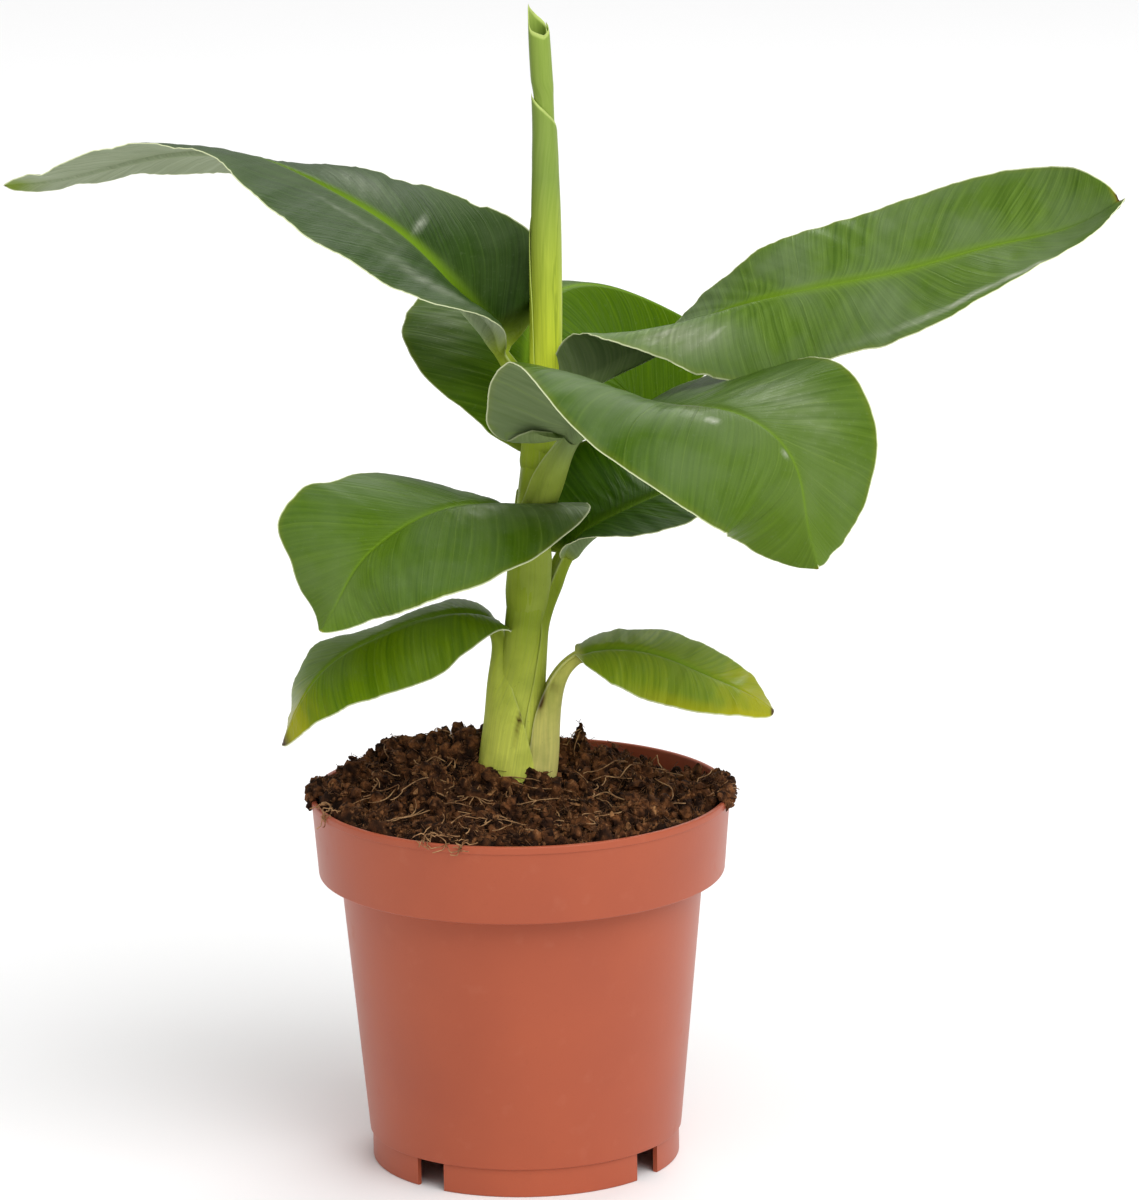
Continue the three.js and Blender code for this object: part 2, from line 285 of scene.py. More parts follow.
def makeMottleGroup():  # soft uneven patches
    tree, _, given, result = newGroup(
        "mottle", "ShaderNodeTree", {"Size": 10.0, "Low": 0.35, "High": 0.65}, {"Value": "Float"})
    scale = calculate(tree, "DIVIDE", 1 / mm, given["Size"])
    cloud = addNode(tree, "ShaderNodeTexNoise", {"Vector": objectSpace(tree), "Scale": scale, "Detail": 4.0})
    feed(tree, result["Value"], remap(tree, cloud.outputs[0], given["Low"], given["High"]))
    return tree


stalkPaint = {
    "veins": {"Fine": 1.5, "Broad": 0.45, "Pitch": 2.6},
    "change": (116 * mm, 158 * mm),  # heights between which the lower colour gives way to the upper one
    "shade": (0.4, sRgb(158, 168, 84)),
    "lines": (0.16, sRgb(88, 108, 30)),
    "mottles": [((9.0, 0.45, 0.7), 0.3, sRgb(96, 118, 30)), ((1.0, 0.68, 0.76), 0.35, sRgb(84, 84, 40))],
    "roughness": 0.42,
    "bump": (0.35, 0.2),
}


def makeStalkGroup():  # stem and stalks: pale and yellow low down, green above, finely streaked
    tree, _, given, result = newGroup(
        "stalk skin", "ShaderNodeTree",
        {"Along": 0.0, "Across": 0.0, "Low": (0.0, 0.0, 0.0, 1.0), "High": (0.0, 0.0, 0.0, 1.0)},
        {"Color": "Color", "Height": "Float"})
    paint = stalkPaint
    veins = useGroup(tree, veinGroup, {"Along": given["Along"], "Across": given["Across"], **paint["veins"]})
    rise = remap(tree, split(tree, objectSpace(tree))[2], *paint["change"])
    base = blend(tree, rise, given["Low"], given["High"])
    base = tint(tree, base, veins["Shade"], *paint["shade"])
    base = tint(tree, base, veins["Lines"], *paint["lines"])
    for patch, strength, colour in paint["mottles"]:
        base = tint(tree, base, mottle(tree, *patch), strength, colour)
    feed(tree, result["Color"], base)
    feed(tree, result["Height"], veins["Shade"])
    return tree


veinGroup = makeVeinGroup()
mottleGroup = makeMottleGroup()
stalkGroup = makeStalkGroup()


def newMaterial(name):
    material = bpy.data.materials.new(name)
    material.use_nodes = True
    tree = material.node_tree
    return material, tree, tree.nodes["Principled BSDF"].inputs


def setBump(tree, surface, height, strength, distance):
    relief = {"Height": height, "Strength": strength, "Distance": distance * mm}
    feed(tree, surface["Normal"], addNode(tree, "ShaderNodeBump", relief).outputs[0])


def setGrain(tree, surface, paint):  # relief from fine noise
    grain = addNode(tree, "ShaderNodeTexNoise", {"Vector": objectSpace(tree), **paint["grain"]})
    setBump(tree, surface, grain.outputs[0], *paint["bump"])


def setSurface(tree, surface, colour, roughness, gloss, glossTint=(1.0, 1.0, 1.0)):
    feed(tree, surface["Base Color"], colour)
    feed(tree, surface["Roughness"], roughness)
    feed(tree, surface["Specular IOR Level"], gloss)
    feed(tree, surface["Specular Tint"], glossTint)


def bladeMap(tree):  # millimetres along and across a blade or stalk
    flow = split(tree, addNode(tree, "ShaderNodeUVMap", uv_map="blade").outputs[0])
    return {"Along": times(tree, flow[0], 1 / mm), "Across": times(tree, flow[1], 1 / mm)}


leafPaint = {
    "rib": sRgb(112, 146, 28),
    "under": sRgb(132, 148, 104),
    "underDark": sRgb(104, 122, 80),
    # pale leaf edge: partly the margin's own colour, partly a painted highlight
    "margin": sRgb(226, 232, 188),
    "veinLine": sRgb(122, 148, 56),
    "veinGlow": 0.26,
    "young": sRgb(126, 154, 54),
    "yellow": sRgb(168, 166, 24),
    "dry": sRgb(70, 44, 16),
    # pale grey of scars, also used for painted sheen
    "scarAndSheen": sRgb(196, 200, 182),
    # grey-green wax bloom, which also stands in for painted sheen
    "sheenAndBloom": sRgb(112, 130, 92),
    "stalkLow": sRgb(232, 237, 104),
    "stalkHigh": sRgb(146, 166, 38),
    "veins": {"Fine": 1.0, "Broad": 0.3, "Pitch": 1.9},  # lines for each millimetre, and their spacing
    "patches": (24.0, 0.42, 0.66),
    "specks": (1.1, 0.6, 0.72),
    "patchStrength": 0.35,
    "speckStrength": 0.12,
    "glowFrom": 0.45,  # how far along the leaf the young colour of its tip starts
    "ribBelow": 0.25,  # how much of the midrib's colour the underside takes
    "scarAndSheenStreaks": (0.35, 0.35, 0.4),  # shares of veins, specks and an even scar
    "gloss": 0.22,
    "glossTint": (0.75, 1.0, 0.35),
    "roughness": (0.34, 0.5),
    "underRoughness": (0.55, 0.7),
    "lineDepth": 0.6,
    "bump": (0.4, 0.25),
}


def makeLeafMaterial(name, leaf, under):
    paint = {**leafPaint, **leaf}
    material, tree, surface = newMaterial(name)
    flow = bladeMap(tree)
    edge, rib, stalkPart = painted(tree, "parts")
    yellowed, dried, scarAndSheenMask = painted(tree, "zones")
    veins = useGroup(tree, veinGroup, {**flow, **paint["veins"]})
    patches = mottle(tree, *paint["patches"])
    specks = mottle(tree, *paint["specks"])
    stalk = useGroup(tree, stalkGroup, {**flow, "Low": paint["stalkLow"], "High": paint["stalkHigh"]})
    light, dark = [paint[key] for key in (("under", "underDark") if under else ("light", "dark"))]
    base = blend(tree, veins["Shade"], dark, light)
    base = tint(tree, base, patches, paint["patchStrength"], dark)
    base = tint(tree, base, veins["Lines"], paint["veinGlow"], paint["veinLine"])
    if not under:
        # wax bloom and painted sheen, in soft patches
        base = tint(tree, base, patches, leaf["sheenAndBloomStrength"], paint["sheenAndBloom"])
    if "tipGlow" in leaf and not under:
        far = leaf["petiole"] + leaf["blade"]
        glow = remap(tree, flow["Along"], paint["glowFrom"] * far, far, to=(0.0, leaf["tipGlow"]))
        base = blend(tree, glow, base, paint["young"])
    # specks of the same wax bloom and painted sheen
    base = tint(tree, base, specks, paint["speckStrength"], paint["sheenAndBloom"])
    base = tint(tree, base, rib, paint["ribBelow"] if under else 1.0, paint["rib"])
    base = blend(tree, stalkPart, base, stalk["Color"])
    base = blend(tree, yellowed, base, paint.get("tipPaint", paint["yellow"]))
    # scars and patches of painted sheen, streaked
    veinShare, speckShare, evenShare = paint["scarAndSheenStreaks"]
    streaks = calculate(tree, "MULTIPLY_ADD", veins["Shade"], veinShare, times(tree, specks, speckShare))
    base = tint(tree, base, scarAndSheenMask, calculate(tree, "ADD", streaks, evenShare), paint["scarAndSheen"])
    base = blend(tree, dried, base, paint["dry"])
    # pale margin, partly painted highlight
    base = blend(tree, edge, base, paint["margin"])
    rough = remap(tree, patches, 0.0, 1.0, to=paint["underRoughness" if under else "roughness"])
    setSurface(tree, surface, base, rough, paint["gloss"], paint["glossTint"])
    height = calculate(tree, "SUBTRACT", veins["Shade"], times(tree, veins["Lines"], paint["lineDepth"]))
    setBump(tree, surface, height, *paint["bump"])
    return material


stem = {
    "heights": [107, 125, 150, 190, 222],
    "centres": [-2.9, -1.2, 1.4, 5.0, 8],
    "radii": [8.0, 7.0, 6.0, 5.2, 4.0],
    "rings": 60,
    "sides": 56,
    "uneven": 0.02,
}

# The blade rule is the solid model's: a midrib that follows pitch and heading, and two halves that fold
# and curl off it. hug says how far up from its start the stalk clings to the stem. sheath is the wrap below:
# how far down it reaches, which way it faces, how far it stands out, and how far round each wing goes.
# nicks: place along the blade, hand (1 is right), depth and reach. A depth below 0 is a bulge.
# marks: kind, travel along the leaf, distance across it, length, width and strength. Scar marks paint silvery
# scars, and some paint sheen.
leaves = {
    "upper_left_leaf": {
        "start": [4, 0, 212], "stalk": [3.5, 2.5], "petiole": 24, "blade": 164, "width": 32,
        "shape": [0.35, 0.75],
        "pitch": [85, 55, 50, 30, 20, -5, -15, 0], "heading": [155, 170, 175, 165, 170, 175, 185],
        "roll": [5, 0, 5, 5], "sweep": [0, 10, 30],
        "foldRight": [100, 30, 10, -20, -20, -45], "curlRight": [20, -15, -20, 0],
        "foldLeft": [60, 5, 0, 20, 30, 20], "curlLeft": [-45, -10, -10, 0],
        "hug": 4, "sheath": (14, 165, 0.5, [110, 110, 90]), "seed": 11, "ripple": 0.8, "ribWidth": 1.2,
        "ribGlow": 1,
        "light": sRgb(52, 78, 26), "dark": sRgb(32, 54, 12), "sheenAndBloomStrength": 0.22,
        "under": sRgb(168, 178, 148), "underDark": sRgb(136, 148, 118),
        # the first scar mark is a scar; the weaker ones are painted sheen
        "marks": [("scarAndSheen", 65, 9, 0.9, 4, 0.9), ("scarAndSheen", 86, 13, 10, 7, 0.22),
                  ("scarAndSheen", 54, -22, 12, 3, 0.3), ("scarAndSheen", 80, -12, 10, 1.2, 0.3)],
        "nicks": [(0.2, 1, 1.2, 0.012), (0.29, 1, 1.6, 0.01), (0.33, 1, 1.0, 0.012), (0.41, -1, -6, 0.17),
                  (0.19, -1, -4.4, 0.12), (0.29, -1, -2.2, 0.1), (0.38, 1, 3, 0.12),
                  (0.84, -1, -2.4, 0.13), (0.95, -1, -1.4, 0.07), (0.69, 1, 2.8, 0.13), (0.8, 1, 1.8, 0.1),
                  (0.91, 1, 2.6, 0.09)],
        "yellowTip": 0.045, "tipPaint": sRgb(122, 146, 30), "gloss": 0.06, "veinGlow": 0.08, "slant": 0.9,
        "ribFade": 0.15,
    },
    "upper_right_leaf": {
        "start": [9, 0, 214], "stalk": [3.5, 2.5], "petiole": 9, "blade": 168, "width": 28,
        "shape": [0.5, 0.5],
        "pitch": [50, 30, 30, 15, 10, 15, 10, 35], "heading": [-15, -10, -10, 0, 5, 5],
        "roll": [15, -15, -20, -5], "sweep": [-50, -45, 35],
        "foldRight": [65, 40, -30, -10, 0], "curlRight": [0, -30, 20, 30],
        "foldLeft": [75, 5, 20, 30, 60], "curlLeft": [-25, -20, -25, 10],
        "hug": 3, "sheath": (14, -15, 0.5, [110, 110, 90]), "seed": 12, "ripple": 0.3, "ribWidth": 1.3,
        "light": sRgb(98, 127, 46), "dark": sRgb(66, 95, 25), "sheenAndBloomStrength": 0.6,
        "marks": [("dry", 64, 19, 9, 6, 0.15), ("scarAndSheen", 64, 19, 9, 6, 0.6), ("scarAndSheen", 46, 8, 4, 3.5, 0.5),
                  ("scarAndSheen", 61, 23, 1.6, 1.2, 1), ("scarAndSheen", 60, 18, 0.8, 3, 0.8), ("scarAndSheen", 67, 18, 0.6, 4, 1),
                  ("scarAndSheen", 72, 17, 0.6, 3, 0.9), ("scarAndSheen", 136, 22.6, 16, 1.3, 1.3)],
        "slant": 0.6, "gloss": 0.18,
        "nicks": [(0.22, -1, 1.4, 0.012), (0.4, 1, 0.8, 0.01), (0.47, 1, 0.9, 0.008), (0.3, 1, -1.4, 0.12),
                  (0.44, 1, -3.2, 0.1), (0.56, 1, 1.4, 0.07), (0.67, 1, -1.4, 0.07), (0.79, 1, -1.6, 0.17),
                  (0.93, 1, -1.4, 0.08), (0.755, 1, -1.7, 0.07), (0.37, -1, 3.6, 0.15),
                  (0.66, -1, -1.2, 0.15), (0.87, -1, -1.6, 0.15)],
    },
    "front_right_leaf": {
        "start": [5, -6, 186], "stalk": [4, 3.4], "petiole": 31, "blade": 117, "width": 38,
        "shape": [0.35, 0.7],
        "pitch": [65, 65, 25, 10, 5, -30, -80, -65], "heading": [-30, -45, -40, -40, -30, -50],
        "roll": [-15, -5, -10, 0], "sweep": [-50, 10, 35],
        "foldRight": [35, 60, 20, -10, -25, -70], "curlRight": [-5, -45, -50, -25, -15],
        "foldLeft": [-50, -5, 5, 5, -5], "curlLeft": [15, 0, 5, -15],
        "hug": 13, "loosen": -14, "sheath": (34, -45, 0.9, [100, 120, 140, 135, 95, 50]), "seed": 13,
        "ripple": 0.5,
        "ribWidth": 0.5, "ribGlow": 0.5,
        "light": sRgb(75, 104, 26), "dark": sRgb(50, 79, 13), "sheenAndBloomStrength": 0.35,
        "marks": [("dry", 81, 4, 8, 3, 0.2), ("scarAndSheen", 78, 1, 9, 2.5, 0.25), ("scarAndSheen", 87, 9, 5, 2.2, 0.25),
                  ("scarAndSheen", 91, 8.3, 1.4, 0.9, 2), ("scarAndSheen", 114, 1.5, 1.2, 0.5, 1),
                  ("scarAndSheen", 97, -14, 15, 9, 0.25)],
        "stalkHigh": sRgb(158, 176, 66), "stalkFade": -0.15, "gloss": 0.12,
        "nicks": [(0.96, -1, 1.9, 0.11), (0.845, -1, -1.8, 0.1), (0.66, -1, -2.2, 0.22),
                  (0.58, 1, -2.6, 0.25), (0.85, 1, -2.2, 0.15), (0.03, 1, -1.4, 0.05)],
        "narrowLeft": 0.9, "tipGlow": 0.35,
    },
    "back_leaf": {
        "start": [5, 5, 192], "stalk": [3.5, 2.8], "petiole": 12, "blade": 130, "width": 44,
        "shape": [0.65, 0.65],
        "pitch": [85, 70, 45, 20, 0, -20, -30, -35], "heading": [105, 95, 75, 50, 30, 15],
        "roll": [0, 0], "sweep": [5, 10, 25],
        "foldRight": [-10, -40, -60, -60], "curlRight": [-20, -20, -10, 0],
        "foldLeft": [10, 0, -10], "curlLeft": [-25, -15, -20, 0],
        "hug": 5, "sheath": (22, 95, 0.7, [110, 110, 100, 80]), "seed": 14, "ripple": 0.9,
        "light": sRgb(80, 111, 4), "dark": sRgb(53, 84, 2), "sheenAndBloomStrength": 0.03,
        # underside colours darkened as painted shade, and the scar mark is painted sheen
        "under": sRgb(72, 96, 36), "underDark": sRgb(48, 72, 20),
        "marks": [("scarAndSheen", 60, -24, 20, 10, 0.3)],
        "nicks": [(0.08, -1, 1.6, 0.09), (0.08, -1, 1.4, 0.04), (0.36, -1, 1.6, 0.1)], "gloss": 0.05,
    },
    "front_left_leaf": {
        "start": [2, -6, 182], "stalk": [3.5, 2.6], "petiole": 9, "blade": 77, "width": 29,
        "shape": [0.25, 0.75],
        "pitch": [85, 25, 0, -20, -35, -60, -55], "heading": [225, 210, 205, 200],
        "roll": [5, 5], "sweep": [-65, 20, 15],
        "foldRight": [15, 5, 35, 40, -5], "curlRight": [-35, -25, 0, 0],
        "foldLeft": [37, -15, -20, -25, -45], "curlLeft": [0, -20, -15, -10],
        "hug": 3, "sheath": (26, 235, 0.8, [100, 120, 120, 100, 80]), "seed": 15, "ripple": 0.4,
        "ribWidth": 0.5, "ribGlow": 0.5,
        "light": sRgb(80, 109, 21), "dark": sRgb(58, 88, 10), "sheenAndBloomStrength": 0.35,
        # both scar marks are painted sheen
        "marks": [("scarAndSheen", 26, -5, 7, 3, 0.35), ("scarAndSheen", 15, -15, 6, 9, 0.25)], "slant": 0.45,
        "nicks": [(0.48, -1, -1.4, 0.36), (0.9, -1, 0.6, 0.12), (0.25, -1, 2, 0.13), (0.05, -1, 0.8, 0.05),
                  (0.625, 1, -5.2, 0.155), (0.76, 1, -1.9, 0.2)], "tipGlow": 0.3, "gloss": 0.14,
        "narrowRight": 1,
    },
    "rear_right_leaf": {
        "start": [3.7, 3, 140], "stalk": [3.3, 3.3], "petiole": 36, "blade": 77, "width": 23,
        "shape": [0.5, 0.6],
        "pitch": [70, 80, 65, 25, 15, 5, -5, -20], "heading": [20, 25, 30, 40],
        "roll": [0, 0], "sweep": [-30, 5, 30],
        "foldRight": [30, 1.4, -0.5, 10, 10], "curlRight": [10, 0, 0],
        "foldLeft": [50, 30, 20, 10, 10], "curlLeft": [0, 0],
        "hug": 29, "loosen": 13, "sheath": (26, 5, 0.9, [70, 75, 60, 45, 40]), "seed": 16, "ripple": 0.4,
        "light": sRgb(68, 104, 6), "dark": sRgb(40, 74, 3), "sheenAndBloomStrength": 0.08,
        "marks": [],
        "nicks": [(0.36, -1, -8.5, 0.26), (0.27, 1, -6.4, 0.24)], "gloss": 0.12,
    },
    "lower_left_leaf": {
        "start": [-9.4, -1, 112], "stalk": [5, 2.7], "petiole": 44, "blade": 81, "width": 18,
        "shape": [0.45, 0.65],
        "pitch": [97, 96, 95, 15, -15, -25, -55, -70], "heading": [180, 200, 195, 190],
        "roll": [0, 0], "sweep": [-30, 5, 25],
        "foldRight": [20, 0, 5, -15], "curlRight": [-25, -25, -15, 0],
        "foldLeft": [20, -45, -25, -15], "curlLeft": [-20, -30, -15, 5],
        "hug": 42, "loosen": 15, "sheath": (5, 187, 2.5, [126, 123, 105, 83, 42, 42]), "seed": 17,
        "ripple": 0.4,
        "light": sRgb(106, 134, 14), "dark": sRgb(78, 108, 6), "sheenAndBloomStrength": 0.15,
        "marks": [("dry", 20, -13, 6, 0.7, 1)], "gloss": 0.16,
        "nicks": [(0.18, -1, 1.7, 0.14), (0.12, 1, -3.4, 0.15), (0.65, 1, -5.4, 0.18),
                  (0.82, 1, -2, 0.14), (0.66, -1, -1.4, 0.16), (0.58, 1, -3.2, 0.1), (0.84, 1, -1.6, 0.09),
                  (0.32, 1, -1.6, 0.2)],
        "yellowTip": 0.16, "dryTip": 0.045, "dryEdge": 0.6,
    },
    "lower_right_leaf": {
        "start": [6.2, -3, 112], "stalk": [4.4, 2.6], "petiole": 38, "blade": 61, "width": 15,
        "shape": [0.5, 0.6],
        "pitch": [80, 85, 70, 15, -10, -25, -25, -40], "heading": [0, 0, -5, -5],
        "roll": [0, -5, 0], "sweep": [-5, 0, 25],
        "foldRight": [-5, -25, -20, -20], "curlRight": [-25, -25, -15, 0],
        "foldLeft": [10, 15, 25, -5], "curlLeft": [-25, -20, -10, 0],
        "hug": 0, "sheath": (4.5, 0, 1, [80, 80]), "seed": 18, "ripple": 0.3,
        "light": sRgb(140, 160, 36), "dark": sRgb(108, 134, 24), "sheenAndBloomStrength": 0.15,
        "stalkLow": sRgb(232, 222, 132), "stalkHigh": sRgb(186, 190, 76),
        "marks": [("dry", 24, 4.9, 4, 1.1, 1.3), ("dry", 27, 2.4, 1.4, 0.8, 0.45)],
        "nicks": [(0.13, -1, -3.4, 0.18), (0.09, -1, -2.8, 0.09), (0.015, -1, 1.8, 0.04),
                  (0.6, -1, 2.4, 0.22), (0.45, 1, -1.4, 0.4), (0.14, 1, -1.3, 0.12)],
        "yellowTip": 0.2, "dryTip": 0.02, "yellowRight": 0.7,
    },
}

leafDefaults = {
    "ribWidth": 0.6,
    "ribGlow": 0.7,
    "ribFade": 0.8,  # how far along the blade the midrib's colour starts to fade
    "slant": 0.2,
    "stalkFade": 0.0,
    "yellowTip": 0.005,
    "yellowRight": 0,
    "dryTip": 0.003,
    "dryEdge": 0,
    "narrowRight": 0,
    "narrowLeft": 0,
}

leafMesh = {
    "midribSteps": 80,
    "sheathRings": 20,
    "petioleRings": 30,
    "bladeRings": 150,
    "ringSpacing": (0.45, 1.7, 1.25),  # rings are closer together towards both ends of the blade
    "bladeEnds": (0.0005, 0.9985),  # the first and last ring
    "ribPoints": 6,
    "bladePoints": 17,
    "outerFrom": (1.02, 1.05),  # the first and the least last point beyond the midrib, in its half widths
    "bladeThickness": 0.45,
    "stalkThickness": 0.8,
    "sheathThickness": 0.5,
    "sheathTuck": 1.3,  # how deep a sheath's lower end sinks below its neighbours
    "tuckAlong": (0.98, 0.55),  # where along the sheath that happens
    "shortSheath": 6,  # a sheath shorter than this isn't tucked in
    "loosenFrom": 0.55,  # a stalk starts to leave the stem this far up hug, unless loosen says where
    "wingFrom": 0.4,  # how far up the stalk its wings start to close or open
    "stemLean": (0.09, 0, 1),
    "petioleWrap": (100, 50),  # degrees that each wing of the stalk turns, low down and at the blade
    "ribDepth": (0.85, 1.25, 0.25),  # of the midrib's radius on the stalk and the blade, and at the sheath
    "ribTip": (0.5, 0.35),  # its half width and its radius at the leaf's tip
    "channel": 0.45,  # the groove along the midrib's upper side, of its radius
    "leastWidth": 0.05,
    "ribShare": (0.9, 0.6),  # the most that the midrib takes of the half width, on the stalk and the blade
    "thinEdge": (0.85, 1),
    "bladeStart": (0.0, 0.05),  # here the stalk's section gives way to the blade's
    "sweepStart": (0, 0.02),
    "marginWidth": 0.5,
    "marginWobble": [(2.2, 30, 0.1), (0.9, 31, 0.06)],  # pitch, seed and depth of the margin's unevenness
    "wobbleAlong": [(0.03, 0.1), (0.93, 0.99)],
    "nickEdge": 1.6,  # the higher, the steeper a nick's sides
    "narrowAlong": (-0.02, 0.3),
    "ripplePitch": (7, 9),
    "rippleAcross": (0.15, 1),
    "rippleAlong": (0.02, 0.15),
    "pleatPitch": 5.2,
    "pleatDepth": 0.2,
    "pleatAcross": (0.04, 0.2),
    "pleatAlong": (0, 0.06),
    "veinTurn": 4,  # millimetres over which a vein turns away from the midrib
    "stalkStretch": 1.5,
}

# How far along and across a half blade each colour reaches, from 0 to 1.
leafZones = {
    "edgeWidth": 0.5,
    "edgeOnStalk": 0.3,
    "edgeFade": 0.7,
    "ribFalloff": 1.2,
    "stalkEnd": 0.06,
    "stalkSpread": 9,
    "sideAcross": (0.6, 1),
    "sideAlong": (0.15, 0.6),
    "patchPitch": (30, 3),
    "patchiness": 0.3,
    "yellowTip": (1.8, 0.4, 0.85),  # start and end in lengths of the yellow tip, and strength
    "marginYellow": 0.12,
    "marginAcross": (0.95, 1),
    "dryTip": (1.5, 0.5),
    "dryAcross": (0.94, 1),
    "dryAlong": (0.8, 0.95),
    "speckle": (1.3, 1.1, 0.5),  # pitch along and across, and depth
}


def stemCentre(z):
    return np.interp(z, stem["heights"], stem["centres"])


def stemRadius(z):
    return np.interp(z, stem["heights"], stem["radii"])


def bladeOutline(shape, u):
    base, tip = shape
    widest = base / (base + tip)
    u = np.clip(u, 1e-6, 1 - 1e-6)
    return (u / widest) ** base * ((1 - u) / (1 - widest)) ** tip


def growMidrib(leaf):
    steps = leafMesh["midribSteps"]
    q = np.linspace(0, 1, steps + 1)
    pitch, heading = [np.radians(spread(leaf[key], q)) for key in ("pitch", "heading")]
    along = polar(np.cos(pitch), heading, np.sin(pitch))
    moves = (along[1:] + along[:-1]) / 2 * (leaf["petiole"] + leaf["blade"]) / steps
    point = np.asarray(leaf["start"], float) + np.vstack([np.zeros(3), np.cumsum(moves, axis=0)])
    side = np.stack([np.sin(heading), -np.cos(heading), 0 * heading], -1)
    return q, point, along, side


def leafStations(leaf):
    size = leafMesh
    length = leaf["petiole"] + leaf["blade"]
    neck = leaf["petiole"] / length
    drop, facing, layer, wraps = leaf["sheath"]
    below = np.linspace(-drop / length, 0, size["sheathRings"], endpoint=False)
    stalk = np.linspace(0, neck, size["petioleRings"], endpoint=False)
    x = np.linspace(0, 1, size["bladeRings"])
    lowShare, lowPower, highPower = size["ringSpacing"]
    u = lowShare * x ** lowPower + (1 - lowShare) * (1 - (1 - x) ** highPower)
    u = np.clip(u, *size["bladeEnds"])
    s = np.concatenate([below, stalk, neck + (1 - neck) * u])
    q, *lines = growMidrib(leaf)
    point, along, side = [np.stack([np.interp(s, q, line[:, k]) for k in range(3)], -1) for line in lines]
    travel = s * length
    point = point + np.minimum(travel, 0)[:, None] * along[0]

    leave = leaf["hug"]
    hug = 1 - ease(leaf.get("loosen", leave * size["loosenFrom"]), leave + 0.01, travel)
    starts, ends = size["tuckAlong"]
    sunk = 1 - ease(-drop * starts, -drop * ends, travel)  # the lower end goes under the neighbours
    if drop < size["shortSheath"]:
        sunk = 0 * s
    z = point[:, 2]
    turn = np.radians(facing)
    outward = np.array([np.cos(turn), np.sin(turn), 0])
    radius = stemRadius(z) + layer - size["sheathThickness"] - size["sheathTuck"] * sunk
    onStem = outward * radius[:, None] + np.stack([stemCentre(z), 0 * z, z], -1)
    point = mix(point, onStem, hug[:, None])
    along = unit(mix(along, unit(np.array(size["stemLean"])), hug[:, None]))
    side = unit(mix(side, np.array([np.sin(turn), -np.cos(turn), 0]), hug[:, None]))

    arc = mix(np.interp(s, [0, neck], leaf["stalk"]), radius, hug)
    wrap = spread(wraps, (travel + drop) / (drop + leave + 1e-6))
    wing = mix(*size["petioleWrap"], ease(size["wingFrom"] * neck, neck, s))
    return dict(s=s, u=(s - neck) / (1 - neck), neck=neck, travel=travel, point=point, along=along, side=side,
                up=np.cross(side, along), hug=hug, arc=arc, span=np.radians(mix(wing, wrap, hug)))


def halfWidth(leaf, u, hand, key, stalkWidth, inBlade):
    size = leafMesh
    uu = np.clip(u, 0, 1)
    width = np.where(u > 0, leaf["width"] * bladeOutline(leaf["shape"], uu), 0)
    uneven = 0
    for sign, (pitch, seed, depth) in zip((hand, -hand), size["marginWobble"]):
        uneven = uneven + waves(uu * leaf["blade"] / pitch, 0 * u + sign, leaf["seed"] + seed) * depth
    starts, ends = size["wobbleAlong"]
    width = width + uneven * ease(*starts, u) * (1 - ease(*ends, u))
    for spot, side, depth, reach in leaf["nicks"]:  # bites out of the margin, or bulges below 0
        if side == hand:
            steep = size["nickEdge"]
            width = width - depth * ease(0, 1, steep - steep * np.abs(u - spot) / reach)
    width = width * mix(1, ease(*size["narrowAlong"], uu), leaf["narrow" + key])
    width = np.maximum(width, stalkWidth * (1 - inBlade))
    return np.maximum(width, size["leastWidth"])


